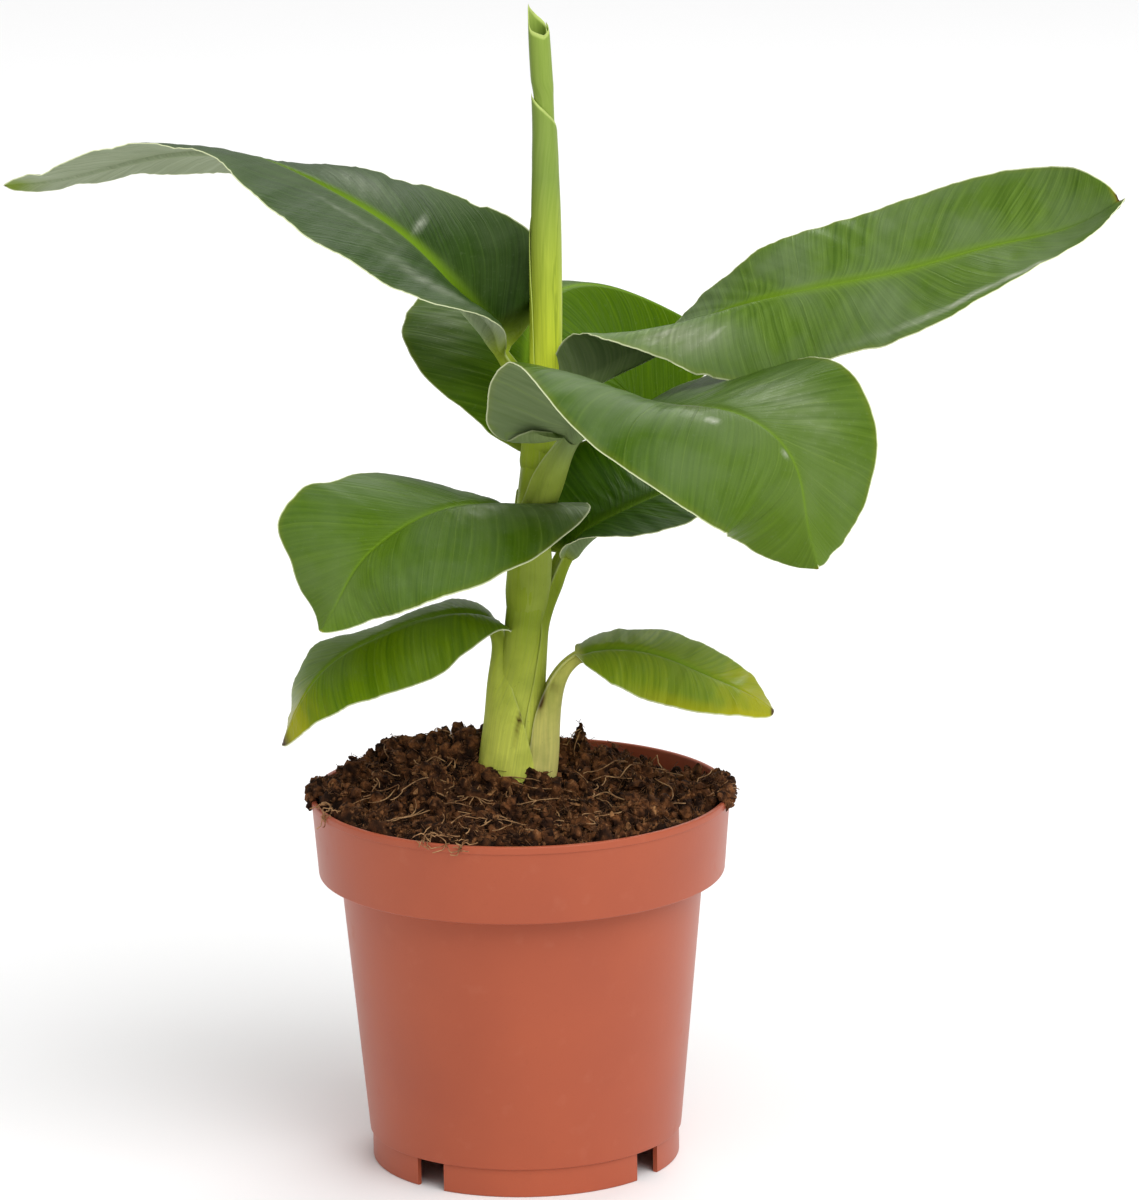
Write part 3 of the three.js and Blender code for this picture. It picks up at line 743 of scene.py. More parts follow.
def halfSection(leaf, at, hand):
    size = leafMesh
    u = at["u"]
    uu = np.clip(u, 0, 1)
    inBlade = ease(*size["bladeStart"], u)
    key = "Right" if hand > 0 else "Left"
    bend = lambda values: np.radians(spread(leaf[values], uu))
    roll, fold = bend("roll") * inBlade, bend("fold" + key) * inBlade
    sweep = bend("sweep") * ease(*size["sweepStart"], u)
    curl = mix(at["span"], bend("curl" + key), inBlade)
    stalkWidth = at["arc"] * at["span"]
    width = halfWidth(leaf, u, hand, key, stalkWidth, inBlade)
    out = at["side"] * np.cos(roll)[:, None] + at["up"] * np.sin(roll)[:, None]
    above = at["up"] * np.cos(roll)[:, None] - at["side"] * np.sin(roll)[:, None]
    vein = out * (hand * np.cos(sweep))[:, None] + at["along"] * np.sin(sweep)[:, None]

    ribHalf = np.interp(at["s"], [0, at["neck"], 1], [*leaf["stalk"], size["ribTip"][0]])
    ofStalk, ofBlade = size["ribShare"]
    ribHalf = np.minimum(mix(stalkWidth * ofStalk, ribHalf, inBlade), width * ofBlade)
    inner = np.linspace(0, 1, size["ribPoints"])[None, :] * ribHalf[:, None]
    firstOuter, leastOuter = size["outerFrom"]
    outerFrom, outerTo = ribHalf * firstOuter, np.maximum(width - size["marginWidth"], ribHalf * leastOuter)
    steps = np.linspace(0, 1, size["bladePoints"] + 1)[1:]
    outer = outerFrom[:, None] + (outerTo - outerFrom)[:, None] * steps[None, :]
    d = np.concatenate([inner, outer, width[:, None]], axis=1)
    t = d / width[:, None]

    curl = np.where(np.abs(curl) < 1e-3, 1e-3, curl)[:, None]
    rise = fold[:, None]
    turn = rise + curl * t
    over = (np.sin(turn) - np.sin(rise)) / curl * width[:, None]
    high = (np.cos(rise) - np.cos(turn)) / curl * width[:, None]
    normal = above[:, None] * np.cos(turn)[..., None] - vein[:, None] * np.sin(turn)[..., None]
    middle = at["point"][:, None] + over[..., None] * vein[:, None] + high[..., None] * above[:, None]

    travel = (uu * leaf["blade"])[:, None]
    pitchAlong, pitchAcross = size["ripplePitch"]
    loose = ease(*size["rippleAcross"], t) * ease(*size["rippleAlong"], uu)[:, None]
    ripple = waves(travel / pitchAlong, d / pitchAcross, leaf["seed"] * 2 + (hand > 0))
    ripple = ripple * loose * leaf["ripple"]
    pleat = waves(travel * 2 * np.pi / size["pleatPitch"] / 1.5, 0 * d, leaf["seed"] + 50)
    pleat = pleat * size["pleatDepth"] * ease(*size["pleatAcross"], t)
    pleat = pleat * ease(*size["pleatAlong"], uu)[:, None]
    middle = middle + normal * (ripple + pleat)[..., None]
    return dict(middle=middle, normal=normal, d=d, t=t, width=width, ribHalf=ribHalf[:, None],
                inBlade=inBlade)


def halfSurfaces(leaf, at, half):  # the half's upper and lower skin
    size = leafMesh
    inBlade, d, ribHalf = half["inBlade"], half["d"], half["ribHalf"]
    ribRadius = np.interp(at["s"], [0, at["neck"], 1], [*leaf["stalk"], size["ribTip"][1]])
    onStalk, onBlade, onSheath = size["ribDepth"]
    rise = np.sqrt(np.clip(1 - (d / ribHalf) ** 2, 0, 1))
    depth = mix(ribRadius * onStalk, ribRadius * onBlade, inBlade)
    depth = mix(depth, onSheath, at["hug"])[:, None]
    thin = mix(size["stalkThickness"], size["sheathThickness"], at["hug"][:, None])
    thin = mix(thin, size["bladeThickness"], inBlade[:, None])
    thin = mix(thin, size["bladeThickness"] * 0.5, ease(*size["thinEdge"], half["t"]))
    channel = size["channel"] * ribRadius[:, None] * np.exp(-(d / ribHalf) ** 2 * 3) * inBlade[:, None]
    top = half["middle"] + half["normal"] * (thin / 2 - channel)[..., None]
    bottom = half["middle"] - half["normal"] * (thin / 2 + rise * depth)[..., None]
    return top, bottom


def halfPaint(leaf, at, half, hand):  # where the material's parts and zones lie, from 0 to 1
    u, travel, hug = [at[key][:, None] for key in ("u", "travel", "hug")]
    d, t, ribHalf, inBlade = half["d"], half["t"], half["ribHalf"], half["inBlade"][:, None]
    zone = leafZones
    edge = (half["width"][:, None] - d) < leafMesh["marginWidth"] * zone["edgeWidth"]
    edge = edge * mix(zone["edgeOnStalk"], 1, inBlade) * (1 - zone["edgeFade"] * hug)
    rib = np.exp(-(d / (ribHalf * leaf["ribWidth"])) ** 2 * zone["ribFalloff"])
    rib = rib * (1 - ease(leaf["ribFade"], 1, u)) * inBlade * leaf["ribGlow"]
    stalk = 1 - ease(leaf["stalkFade"], zone["stalkEnd"], u)
    stalk = stalk * mix(1, np.exp(-(d / zone["stalkSpread"]) ** 2), inBlade)

    tip, dryEnd = leaf["yellowTip"], leaf["dryTip"]
    side = leaf["yellowRight"] * (hand > 0) * ease(*zone["sideAcross"], t) * ease(*zone["sideAlong"], u)
    perBlade, pitch = zone["patchPitch"]
    patchy = waves(u * perBlade, d / pitch, leaf["seed"] + 7) * zone["patchiness"]
    starts, ends, strong = zone["yellowTip"]
    yellow = np.clip(ease(1 - tip * starts, 1 - tip * ends, u + patchy * tip) * strong + side, 0, 1)
    yellow = np.maximum(yellow, zone["marginYellow"] * ease(*zone["marginAcross"], t) * inBlade)
    starts, ends = zone["dryTip"]
    dry = ease(1 - dryEnd * starts, 1 - dryEnd * ends, u + patchy * dryEnd)
    dry = np.maximum(dry, leaf["dryEdge"] * ease(*zone["dryAcross"], t) * ease(*zone["dryAlong"], u))
    zones = {"dry": dry, "scarAndSheen": 0 * d}
    pitchAlong, pitchAcross, rough = zone["speckle"]
    for kind, where, across, long, wide, strength in leaf["marks"]:  # millimetres along and across
        spot = ((travel - where) / long) ** 2 + ((d * hand - across) / wide) ** 2
        speckle = waves(travel / pitchAlong, d / pitchAcross, leaf["seed"] + 90)
        spot = strength * np.exp(-spot) * (1 + rough * speckle)
        zones[kind] = np.clip(np.maximum(zones[kind], spot), 0, 1)
    return np.stack([edge, rib, stalk], -1), np.stack([yellow, zones["dry"], zones["scarAndSheen"]], -1)


def halfFlow(leaf, at, half, hand):  # the map that veins follow: across the blade, and up the stalk
    travel, d = at["travel"][:, None], half["d"]
    turn = leafMesh["veinTurn"]
    start = turn * np.exp(-d / turn) - turn - leaf["slant"] * d  # veins leave the midrib at a slant
    flow = np.stack([(travel + start) * mm, d * hand * mm], -1)
    stalkFlow = np.stack([d * hand * mm * leafMesh["stalkStretch"], travel * mm + 0 * d], -1)
    return mix(stalkFlow, flow, half["inBlade"][:, None, None])


def buildLeaf(name, leaf):
    leaf = {**leafDefaults, **leaf}
    at = leafStations(leaf)
    sheets = []
    for hand in (-1, 1):
        half = halfSection(leaf, at, hand)
        order = slice(None, 0, -1) if hand < 0 else slice(None)
        layers = [*halfSurfaces(leaf, at, half), *halfPaint(leaf, at, half, hand)]
        layers.append(halfFlow(leaf, at, half, hand))
        sheets.append([layer[:, order] for layer in layers])
    top, bottom, parts, zones, flow = [np.concatenate(pair, axis=1) for pair in zip(*sheets)]
    rings = np.concatenate([top, bottom[:, ::-1]], axis=1)
    rows, columns = rings.shape[:2]
    wide = top.shape[1]
    faces = gridFaces(rows, columns, wrap=True)
    slots = np.where(faces[:, 0] % columns < wide - 1, 0, 1)
    caps = []
    for row in (0, rows - 1):
        for c in range(wide - 1):
            a = row * columns + c
            b = row * columns + columns - 1 - c
            quad = [a, a + 1, b - 1, b]
            caps.append(quad if row == 0 else quad[::-1])
    faces = np.vstack([faces[:, ::-1], caps])
    slots = np.concatenate([slots, np.ones(len(caps), int)])
    upper = makeLeafMaterial(name + " upper side", leaf, False)
    lower = makeLeafMaterial(name + " underside", leaf, True)
    piece = makePiece(name + "_blade", place(rings.reshape(-1, 3)), faces, [upper, lower], slots, sharp=70)
    double = lambda values: np.concatenate([values, values[:, ::-1]], axis=1).reshape(rows * columns, -1)
    addColours(piece, "parts", double(parts))
    addColours(piece, "zones", double(zones))
    addMap(piece, double(flow))
    finishPiece(piece, "leaf", name)


def makeStalkMaterial():
    material, tree, surface = newMaterial("stem skin")
    paint = leafPaint
    skin = useGroup(tree, stalkGroup, {
        **bladeMap(tree), "Low": paint["stalkLow"], "High": paint["stalkHigh"]})
    setSurface(tree, surface, skin["Color"], stalkPaint["roughness"], paint["gloss"], paint["glossTint"])
    setBump(tree, surface, skin["Height"], *stalkPaint["bump"])
    return material


def buildStem():
    z = np.linspace(stem["heights"][0], stem["heights"][-1], stem["rings"])[:, None]
    a = turns(stem["sides"])[None, :]
    radius = stemRadius(z) * (1 + stem["uneven"] * waves(a * 3, z / 60, 5))
    points = polar(radius, a, z)
    points[..., 0] += stemCentre(z)
    ends = [[stemCentre(z[0, 0]), 0, z[0, 0]], [stemCentre(z[-1, 0]), 0, z[-1, 0] + 1]]
    points = place(np.vstack([points.reshape(-1, 3), ends]))
    piece = makePiece("stem_core", points, closedFaces(stem["rings"], stem["sides"]), [makeStalkMaterial()])
    flow = np.stack([radius * a * leafMesh["stalkStretch"], z + 0 * radius], -1).reshape(-1, 2)
    addMap(piece, np.vstack([flow, [[0, 0], [0, 0]]]) * mm)
    finishPiece(piece, "stem", "pseudostem")


quill = {
    "low": 218,
    "centre": [(218, 8.8), (255, 9.4), (290, 9.5), (306, 9.35), (313, 8.85), (334, 7.9)],  # height, x
    "radius": [(218, 3.6), (255, 3.7), (290, 3.1), (306, 2.8), (313, 3.15), (334, 2.7)],
    "thickness": 0.36,
    "edges": [0.012, 0.008],  # share of the turns and of the height over which both skins meet
    "paleEdge": 0.99,
    "columns": 221,
    "rows": 76,
    "change": (232 * mm, 285 * mm),
    "veins": {"Fine": 1.6, "Broad": 0.5},
    "shade": (0.35, sRgb(104, 134, 34)),
    "lines": (0.35, sRgb(88, 116, 34)),
    "edgeColour": sRgb(206, 222, 130),
    "roughness": 0.42,
    "bump": (0.3, 0.15),
}

# gap: how far the first and last turn lie from the radius. top: the upper edge, as turn and height.
rolls = {
    "rolled_leaf_core": {
        "gap": (-0.7, 0.0),
        "top": [(-20, 326.4), (0, 327), (90, 330), (180, 334), (200, 328), (225, 326.6), (300, 325.2),
                (360, 327), (400, 328.3)],
        "skin": "rolled leaf inside", "low": sRgb(240, 248, 62), "high": sRgb(146, 168, 78),
    },
    "rolled_leaf_wrap": {
        "gap": (0.35, 0.95),
        "top": [(181, 309), (270, 304.5), (360, 299), (450, 288), (540, 268), (570, 250), (590, 222)],
        "skin": "rolled leaf outside", "low": sRgb(228, 240, 68), "high": sRgb(142, 164, 80),
    },
}


def geometryTree(name, ins):
    return newGroup(name, "GeometryNodeTree", {"Geometry": "Geometry", **ins, "Material": "Material"},
                    {"Geometry": "Geometry"})


def paintTree(tree, shape, given, result):
    solid = addNode(tree, "GeometryNodeRealizeInstances", {0: shape}).outputs[0]
    paint = addNode(tree, "GeometryNodeSetMaterial", {"Geometry": solid, "Material": given["Material"]})
    feed(tree, result["Geometry"], paint.outputs[0])


def shift(tree, shape, **change):  # Position or Offset
    return addNode(tree, "GeometryNodeSetPosition", {"Geometry": shape, **change}).outputs[0]


def bakeTree(name, source, tree, ids, values):  # runs a tree on source and keeps the result as a plain mesh
    carrier = addObject(name + " carrier", source)
    change = carrier.modifiers.new("grow", "NODES")
    change.node_group = tree
    for label, value in values.items():
        change[ids[label]] = value
    graph = bpy.context.evaluated_depsgraph_get()
    mesh = bpy.data.meshes.new_from_object(carrier.evaluated_get(graph))
    carrier.modifiers.remove(change)
    bpy.data.objects.remove(carrier)
    return addObject(name, mesh)


def floatCurve(tree, value, points, smooth):  # a curve through (x, y) points, in their own units
    xs, ys = zip(*points)
    scaled = remap(tree, value, xs[0], xs[-1])
    made = addNode(tree, "ShaderNodeFloatCurve", {"Value": scaled})
    curve = made.mapping.curves[0]
    spots = [((x - xs[0]) / (xs[-1] - xs[0]), (y - min(ys)) / (max(ys) - min(ys))) for x, y in points]
    curve.points[0].location, curve.points[-1].location = spots[0], spots[-1]
    for spot in spots[1:-1]:
        curve.points.new(*spot)
    for point in curve.points:
        point.handle_type = "AUTO_CLAMPED" if smooth else "VECTOR"
    made.mapping.update()
    return remap(tree, made.outputs[0], 0.0, 1.0, to=(min(ys), max(ys)))


def keep(tree, shape, label, kind, domain, value):  # stores a value on the mesh under this name
    kept = addNode(tree, "GeometryNodeStoreNamedAttribute", {"Geometry": shape, "Name": label},
                   data_type=kind, domain=domain)
    feed(tree, next(s for s in kept.inputs if s.name == "Value" and s.enabled), value)
    return kept.outputs[0]


def makeRollTree(name, tops):  # a thin sheet rolled about the stem's line, with a free top edge
    tree, ids, given, result = geometryTree(name, {
        "Low": 200.0, "First Turn": 0.0, "Last Turn": 360.0, "First Gap": 0.0, "Last Gap": 0.5,
        "Thickness": 0.4, "Columns": 101, "Rows": 40})
    sheet = addNode(tree, "GeometryNodeMeshGrid", {
        "Size X": 1.0, "Size Y": 1.0, "Vertices X": given["Columns"], "Vertices Y": given["Rows"]})
    where = split(tree, tree.nodes.new("GeometryNodeInputPosition").outputs[0])
    around = times(tree, where[0], 2.0)  # below 0 outside, above 0 inside
    up = calculate(tree, "ADD", where[1], 0.5)
    part = calculate(tree, "SUBTRACT", 1.0, calculate(tree, "ABSOLUTE", around))
    turn, gap = [remap(tree, part, 0.0, 1.0, to=(given["First " + label], given["Last " + label]))
                 for label in ("Turn", "Gap")]
    tall = calculate(tree, "SUBTRACT", floatCurve(tree, turn, tops, False), given["Low"])
    height = calculate(tree, "MULTIPLY_ADD", up, tall, given["Low"])
    centre = floatCurve(tree, height, quill["centre"], True)
    radius = calculate(tree, "ADD", floatCurve(tree, height, quill["radius"], True), gap)

    skin = calculate(tree, "MULTIPLY_ADD", calculate(tree, "LESS_THAN", around, 0.0), 2.0, -1.0)
    skin = times(tree, skin, times(tree, given["Thickness"], 0.5))
    for value, reach in zip((part, up), quill["edges"]):
        nearest = calculate(tree, "MINIMUM", value, calculate(tree, "SUBTRACT", 1.0, value))
        skin = times(tree, skin, remap(tree, nearest, 0.0, reach))
    out = calculate(tree, "ADD", radius, skin)
    angle = calculate(tree, "RADIANS", turn)
    x = calculate(tree, "MULTIPLY_ADD", calculate(tree, "COSINE", angle), out, centre)
    spot = combine(tree, x, times(tree, calculate(tree, "SINE", angle), out), height)
    spot = vectors(tree, "MULTIPLY_ADD", {0: spot, 1: (mm, mm, mm), 2: tuple(potAxis)})

    flow = combine(tree, times(tree, times(tree, radius, angle), mm), times(tree, height, mm))
    ends = [calculate(tree, "GREATER_THAN", value, quill["paleEdge"]) for value in (up, part)]
    edge = combine(tree, calculate(tree, "MAXIMUM", *ends))
    shape = keep(tree, sheet.outputs["Mesh"], "blade", "FLOAT2", "CORNER", flow)
    shape = keep(tree, shape, "parts", "FLOAT_COLOR", "POINT", edge)
    shape = shift(tree, shape, Position=spot)
    shape = addNode(tree, "GeometryNodeMergeByDistance", {"Geometry": shape, "Distance": 1e-6}).outputs[0]
    shape = addNode(tree, "GeometryNodeSetShadeSmooth", {"Geometry": shape}).outputs[0]
    paintTree(tree, shape, given, result)
    return tree, ids


def makeQuillMaterial(name, low, high):
    material, tree, surface = newMaterial(name)
    veins = useGroup(tree, veinGroup, {**bladeMap(tree), **quill["veins"]})
    rise = remap(tree, split(tree, objectSpace(tree))[2], *quill["change"])
    base = blend(tree, rise, low, high)
    base = tint(tree, base, veins["Shade"], *quill["shade"])
    base = tint(tree, base, veins["Lines"], *quill["lines"])
    base = blend(tree, painted(tree, "parts")[0], base, quill["edgeColour"])
    setSurface(tree, surface, base, quill["roughness"], leafPaint["gloss"], leafPaint["glossTint"])
    setBump(tree, surface, veins["Shade"], *quill["bump"])
    return material


def buildQuill():
    for name, roll in rolls.items():
        tree, ids = makeRollTree(name.replace("_", " "), roll["top"])
        piece = bakeTree(name, bpy.data.meshes.new(name + " start"), tree, ids, {
            "Low": float(quill["low"]), "Thickness": quill["thickness"],
            "First Turn": float(roll["top"][0][0]), "Last Turn": float(roll["top"][-1][0]),
            "First Gap": roll["gap"][0], "Last Gap": roll["gap"][1],
            "Columns": quill["columns"], "Rows": quill["rows"],
            "Material": makeQuillMaterial(roll["skin"], roll["low"], roll["high"])})
        finishPiece(piece, "rolled_leaf", "rolled_leaf")


print("growing the stem and leaves")
buildStem()
buildQuill()
for leafName, leafValues in leaves.items():
    buildLeaf(leafName, leafValues)


pot = {
    "bandBottom": (58, 84.3),
    "shoulder": 51.9,
    "foot": 44.8,
    "ring": 44.1,
    "ringHeight": 8.3,
    "wall": 1.5,
    "lip": 2.2,
    "notchSize": (9.4, 8),
    "notchTurns": [-38, 52, 142, 232],
    "notchShort": 0.04,  # a notch ends this far below the floor
    "drainHoles": 5,
    "drainRadius": 4,
    "drainCircle": 24,
    "drainSides": 24,
    "segments": 192,
    "sharp": 35,
    "clay": (sRgb(178, 90, 62), sRgb(168, 84, 60)),
    "patches": (45.0, 0.3, 0.7),
    "specks": ((0.9, 0.62, 0.75), 0.15, sRgb(140, 70, 50)),
    "scuffs": ((6.0, 0.6, 0.8), 0.14, sRgb(198, 126, 100)),
    "roughness": (0.38, 0.5),
    "gloss": (0.35, (1.0, 0.72, 0.62)),
    "grain": {"Scale": 1400.0, "Detail": 2.0},
    "bump": (0.12, 0.1),
}


def filletProfile(corners, steps=4):  # corners are (radius, height, fillet)
    line = []
    count = len(corners)
    for i, (r, z, size) in enumerate(corners):
        here = np.array([r, z], float)
        if size == 0:
            line.append(here)
            continue
        before = np.array(corners[i - 1][:2], float) - here
        after = np.array(corners[(i + 1) % count][:2], float) - here
        size = min(size, np.linalg.norm(before) * 0.45, np.linalg.norm(after) * 0.45)
        a, b = here + unit(before) * size, here + unit(after) * size
        for k in range(steps + 1):
            f = k / steps
            line.append((1 - f) ** 2 * a + 2 * f * (1 - f) * here + f * f * b)
    return np.array(line)


def latheSolid(name, profile, segments):  # the profile starts and ends on the axis
    inner = profile[1:-1]
    ring = polar(inner[:, :1], turns(segments), inner[:, 1:]).reshape(-1, 3)
    poles = [[0, 0, profile[0][1]], [0, 0, profile[-1][1]]]
    piece = makePiece(name, place(np.vstack([ring, poles])), closedFaces(len(inner), segments), [])
    shape = bmesh.new()
    shape.from_mesh(piece.data)
    bmesh.ops.remove_doubles(shape, verts=shape.verts, dist=1e-7)
    bmesh.ops.recalc_face_normals(shape, faces=shape.faces)
    shape.to_mesh(piece.data)
    shape.free()
    return piece


def cutAway(piece, shape):  # shape is a bmesh in millimetres about the pot's axis
    bmesh.ops.scale(shape, vec=(mm, mm, mm), verts=shape.verts)
    bmesh.ops.translate(shape, vec=Vector(potAxis), verts=shape.verts)
    mesh = bpy.data.meshes.new("cutter")
    shape.to_mesh(mesh)
    shape.free()
    cutter = addObject("cutter", mesh)
    change = piece.modifiers.new("cut", "BOOLEAN")
    change.operation = "DIFFERENCE"
    change.solver = "EXACT"
    change.object = cutter
    bpy.context.view_layer.objects.active = piece
    bpy.ops.object.modifier_apply(modifier=change.name)
    bpy.data.objects.remove(cutter)


def makeBox(size, centre, turn):
    shape = bmesh.new()
    bmesh.ops.create_cube(shape, size=1)
    bmesh.ops.scale(shape, vec=size, verts=shape.verts)
    bmesh.ops.translate(shape, vec=centre, verts=shape.verts)
    bmesh.ops.rotate(shape, matrix=Matrix.Rotation(turn, 3, "Z"), verts=shape.verts)
    return shape


def makeRod(radius, length, centre, sides):
    shape = bmesh.new()
    bmesh.ops.create_cone(shape, cap_ends=True, segments=sides, radius1=radius, radius2=radius, depth=length)
    bmesh.ops.translate(shape, vec=centre, verts=shape.verts)
    return shape


def makePotMaterial():
    material, tree, surface = newMaterial("terracotta plastic")
    base = blend(tree, mottle(tree, *pot["patches"]), *pot["clay"])
    for patch, strength, colour in (pot["specks"], pot["scuffs"]):
        mask = mottle(tree, *patch)
        base = tint(tree, base, mask, strength, colour)
    rough = remap(tree, mask, 0.0, 1.0, to=pot["roughness"])  # the scuffs are rougher
    setSurface(tree, surface, base, rough, *pot["gloss"])
    setGrain(tree, surface, pot)
    return material


def buildPot():
    wall, lip, ringHeight, ring = pot["wall"], pot["lip"], pot["ringHeight"], pot["ring"]
    bandRadius, bandBottom = pot["bandBottom"]
    floorTop = ringHeight + wall
    corners = [
        (0, ringHeight, 0), (ring - wall, ringHeight, 0.4), (ring - wall, 0, 0.3), (ring, 0, 0.5),
        (ring, ringHeight, 0.3), (pot["foot"], ringHeight, 0.35), (pot["shoulder"], bandBottom, 0.6),
        (bandRadius, bandBottom, 0.6), (rimRadius - 0.35, rimHeight - lip, 0.3),
        (rimRadius, rimHeight - lip, 0.2), (rimRadius, rimHeight, 0.7), (rimRadius - wall, rimHeight, 0.6),
        (bandRadius - wall, bandBottom + wall, 0.6), (pot["shoulder"] - wall, bandBottom, 0.6),
        (pot["foot"] - wall, floorTop, 1.0), (0, floorTop, 0),
    ]
    piece = latheSolid("nursery_pot", filletProfile(corners), pot["segments"])
    for turn in pot["notchTurns"]:
        size = (*pot["notchSize"], 2 * ringHeight - pot["notchShort"])
        cutAway(piece, makeBox(size, (0, -ring, 0), math.radians(turn)))
    for k in range(pot["drainHoles"]):
        turn = 2 * math.pi * k / pot["drainHoles"]
        centre = (pot["drainCircle"] * math.cos(turn), pot["drainCircle"] * math.sin(turn), ringHeight)
        cutAway(piece, makeRod(pot["drainRadius"], 4 * wall, centre, pot["drainSides"]))
    piece.data.materials.clear()
    piece.data.materials.append(makePotMaterial())
    piece.data.shade_smooth()
    piece.data.set_sharp_from_angle(angle=math.radians(pot["sharp"]))
    finishPiece(piece, "terracotta", "pot")


print("turning the pot")
buildPot()


soil = {
    "edgeHeight": 105.3,
    "frontRise": 2,
    "mound": (-12, 11, 15, 24, 17),  # x, y, height and spreads
    "heaps": [(34, 40, -3, 12), (-25, 14, 3.4, 4), (17, 15, 8, 2.4), (56, -4, 4.5, 5), (-56, -6, 3.5, 5),
              (-36, 22, 3, 6), (30, 4, 3, 7), (-8, -36, 2, 8), (26, -34, 2.2, 6), (-1, -9, -1.4, 3.5),
              (-14, 4, 2, 4)],  # x, y, height, spread
    "lump": 1.6,
    "lumpPitch": 9,
    "lumpWaves": (2.1, 1.7, 1.9, 0.6),
    "relief": [(9.0, 3.4), (4.3, 2.1), (2.1, 1.1), (1.05, 0.5)],  # size and depth of each layer of clods
    "layerShift": (9, 4, 1),
    "creaseScale": 2.4,
    "creaseMiddle": 0.6,
    "innerRadius": 0.4,
    "rings": 190,
    "sides": 440,
    "clearance": 0.25,
    "stemClear": (-2.4, 8.2),  # x and radius of the round where nothing loose lies
    "calm": (-2, 6, 5, 0.3),  # x of the stem, radius and band where the relief grows, and its least share
    # relief below which the soil's hollows get painted shade
    "hollows": (-2.2, 1.0),
    "seed": 4,
}

soilPaint = {
    "bed": (sRgb(96, 58, 32), sRgb(36, 20, 10)),
    "coarse": (3.2, 0.4, 0.62),
    "layers": [((0.8, 0.4, 0.62), 0.6, sRgb(24, 12, 6)), ((1.6, 0.62, 0.7), 0.6, sRgb(160, 112, 74))],
    # painted shade in the soil's hollows: strength and colour
    "hollows": (0.85, sRgb(16, 8, 4)),
    "roughness": 0.85,
    "gloss": 0.12,
    "grain": {"Scale": 1500.0, "Detail": 3.0},
    "bump": (0.8, 0.6),
    "fibrePatches": (3.0, 0.35, 0.65),
    "fibreRoughness": 0.75,
    "fibreGloss": 0.2,
}


def soilHeight(x, y):
    moundX, moundY, height, spreadX, spreadY = soil["mound"]
    slope = soil["edgeHeight"] - soil["frontRise"] * y / rimRadius
    bump = height * np.exp(-(((x - moundX) / spreadX) ** 2 + ((y - moundY) / spreadY) ** 2) / 2)
    for heapX, heapY, rise, spreadOut in soil["heaps"]:
        bump = bump + rise * np.exp(-((x - heapX) ** 2 + (y - heapY) ** 2) / spreadOut ** 2 / 2)
    pitch = soil["lumpPitch"]
    alongX, bend, alongY, shift = soil["lumpWaves"]
    lumps = np.sin(x / pitch * alongX + np.sin(y / pitch) * bend) * np.cos(y / pitch * alongY - shift)
    return slope + bump + soil["lump"] * lumps


def clodNoise(x, y, z):  # rounded lumps between sharp creases, in several sizes
    total = 0
    for k, (size, depth) in enumerate(soil["relief"]):
        crease = abs(noise.noise(Vector((x, y, z)) / size + Vector(soil["layerShift"]) * k))
        total += depth * (crease * soil["creaseScale"] - soil["creaseMiddle"])
    return total


def makeSoilMaterial(name, light, dark, hollows=False):
    material, tree, surface = newMaterial(name)
    base = blend(tree, mottle(tree, *soilPaint["coarse"]), dark, light)
    for patch, strength, colour in soilPaint["layers"]:
        base = tint(tree, base, mottle(tree, *patch), strength, colour)
    # painted shade in the hollows
    if hollows:
        base = tint(tree, base, painted(tree, "hollows")[0], *soilPaint["hollows"])
    setSurface(tree, surface, base, soilPaint["roughness"], soilPaint["gloss"])
    setGrain(tree, surface, soilPaint)
    return material


def makeFibreMaterial(name, dark, light):
    material, tree, surface = newMaterial(name)
    base = blend(tree, mottle(tree, *soilPaint["fibrePatches"]), dark, light)
    setSurface(tree, surface, base, soilPaint["fibreRoughness"], soilPaint["fibreGloss"])
    return material


def buildSoilBed():
    rings, sides, wall = soil["rings"], soil["sides"], pot["wall"]
    bandRadius, bandBottom = pot["bandBottom"]
    inset = wall + soil["clearance"]
    outer = np.interp(soil["edgeHeight"], [bandBottom, rimHeight], [bandRadius, rimRadius]) - inset
    a = turns(sides)
    x, y, _ = np.moveaxis(polar(np.linspace(outer, soil["innerRadius"], rings)[:, None], a, 0), -1, 0)
    z = soilHeight(x, y)
    calmX, calmFrom, calmOver, calmest = soil["calm"]
    relief = np.vectorize(clodNoise)(x, y, z)
    relief = relief * np.clip((np.hypot(x - calmX, y) - calmFrom) / calmOver, calmest, 1)
    top = np.stack([x, y, z + relief], -1)
    walls = np.array([(pot["foot"], pot["ringHeight"] + wall + 0.3), (pot["shoulder"], bandBottom + 0.3),
                      (bandRadius, bandBottom + 2 * wall)]) - (inset, 0)
    grid = np.concatenate([polar(walls[:, :1], a, walls[:, 1:]), top]).reshape(-1, 3)
    ends = [[0, 0, walls[0][1]], [0, 0, top[-1, :, 2].mean()]]
    material = makeSoilMaterial("coir soil", *soilPaint["bed"], hollows=True)
    faces = closedFaces(len(walls) + rings, sides)
    piece = makePiece("soil_bed", place(np.vstack([grid, ends])), faces, [material], sharp=80)
    # painted shade: dark in the hollows, and all over the sides under the rim
    deep = 1 - ease(*soil["hollows"], relief).ravel()
    deep = np.concatenate([np.ones(len(walls) * sides), deep, [1, 1]])
    addColours(piece, "hollows", np.stack([deep, deep, deep], -1))
    finishPiece(piece, "soil", "soil")
    return x, y, z, relief


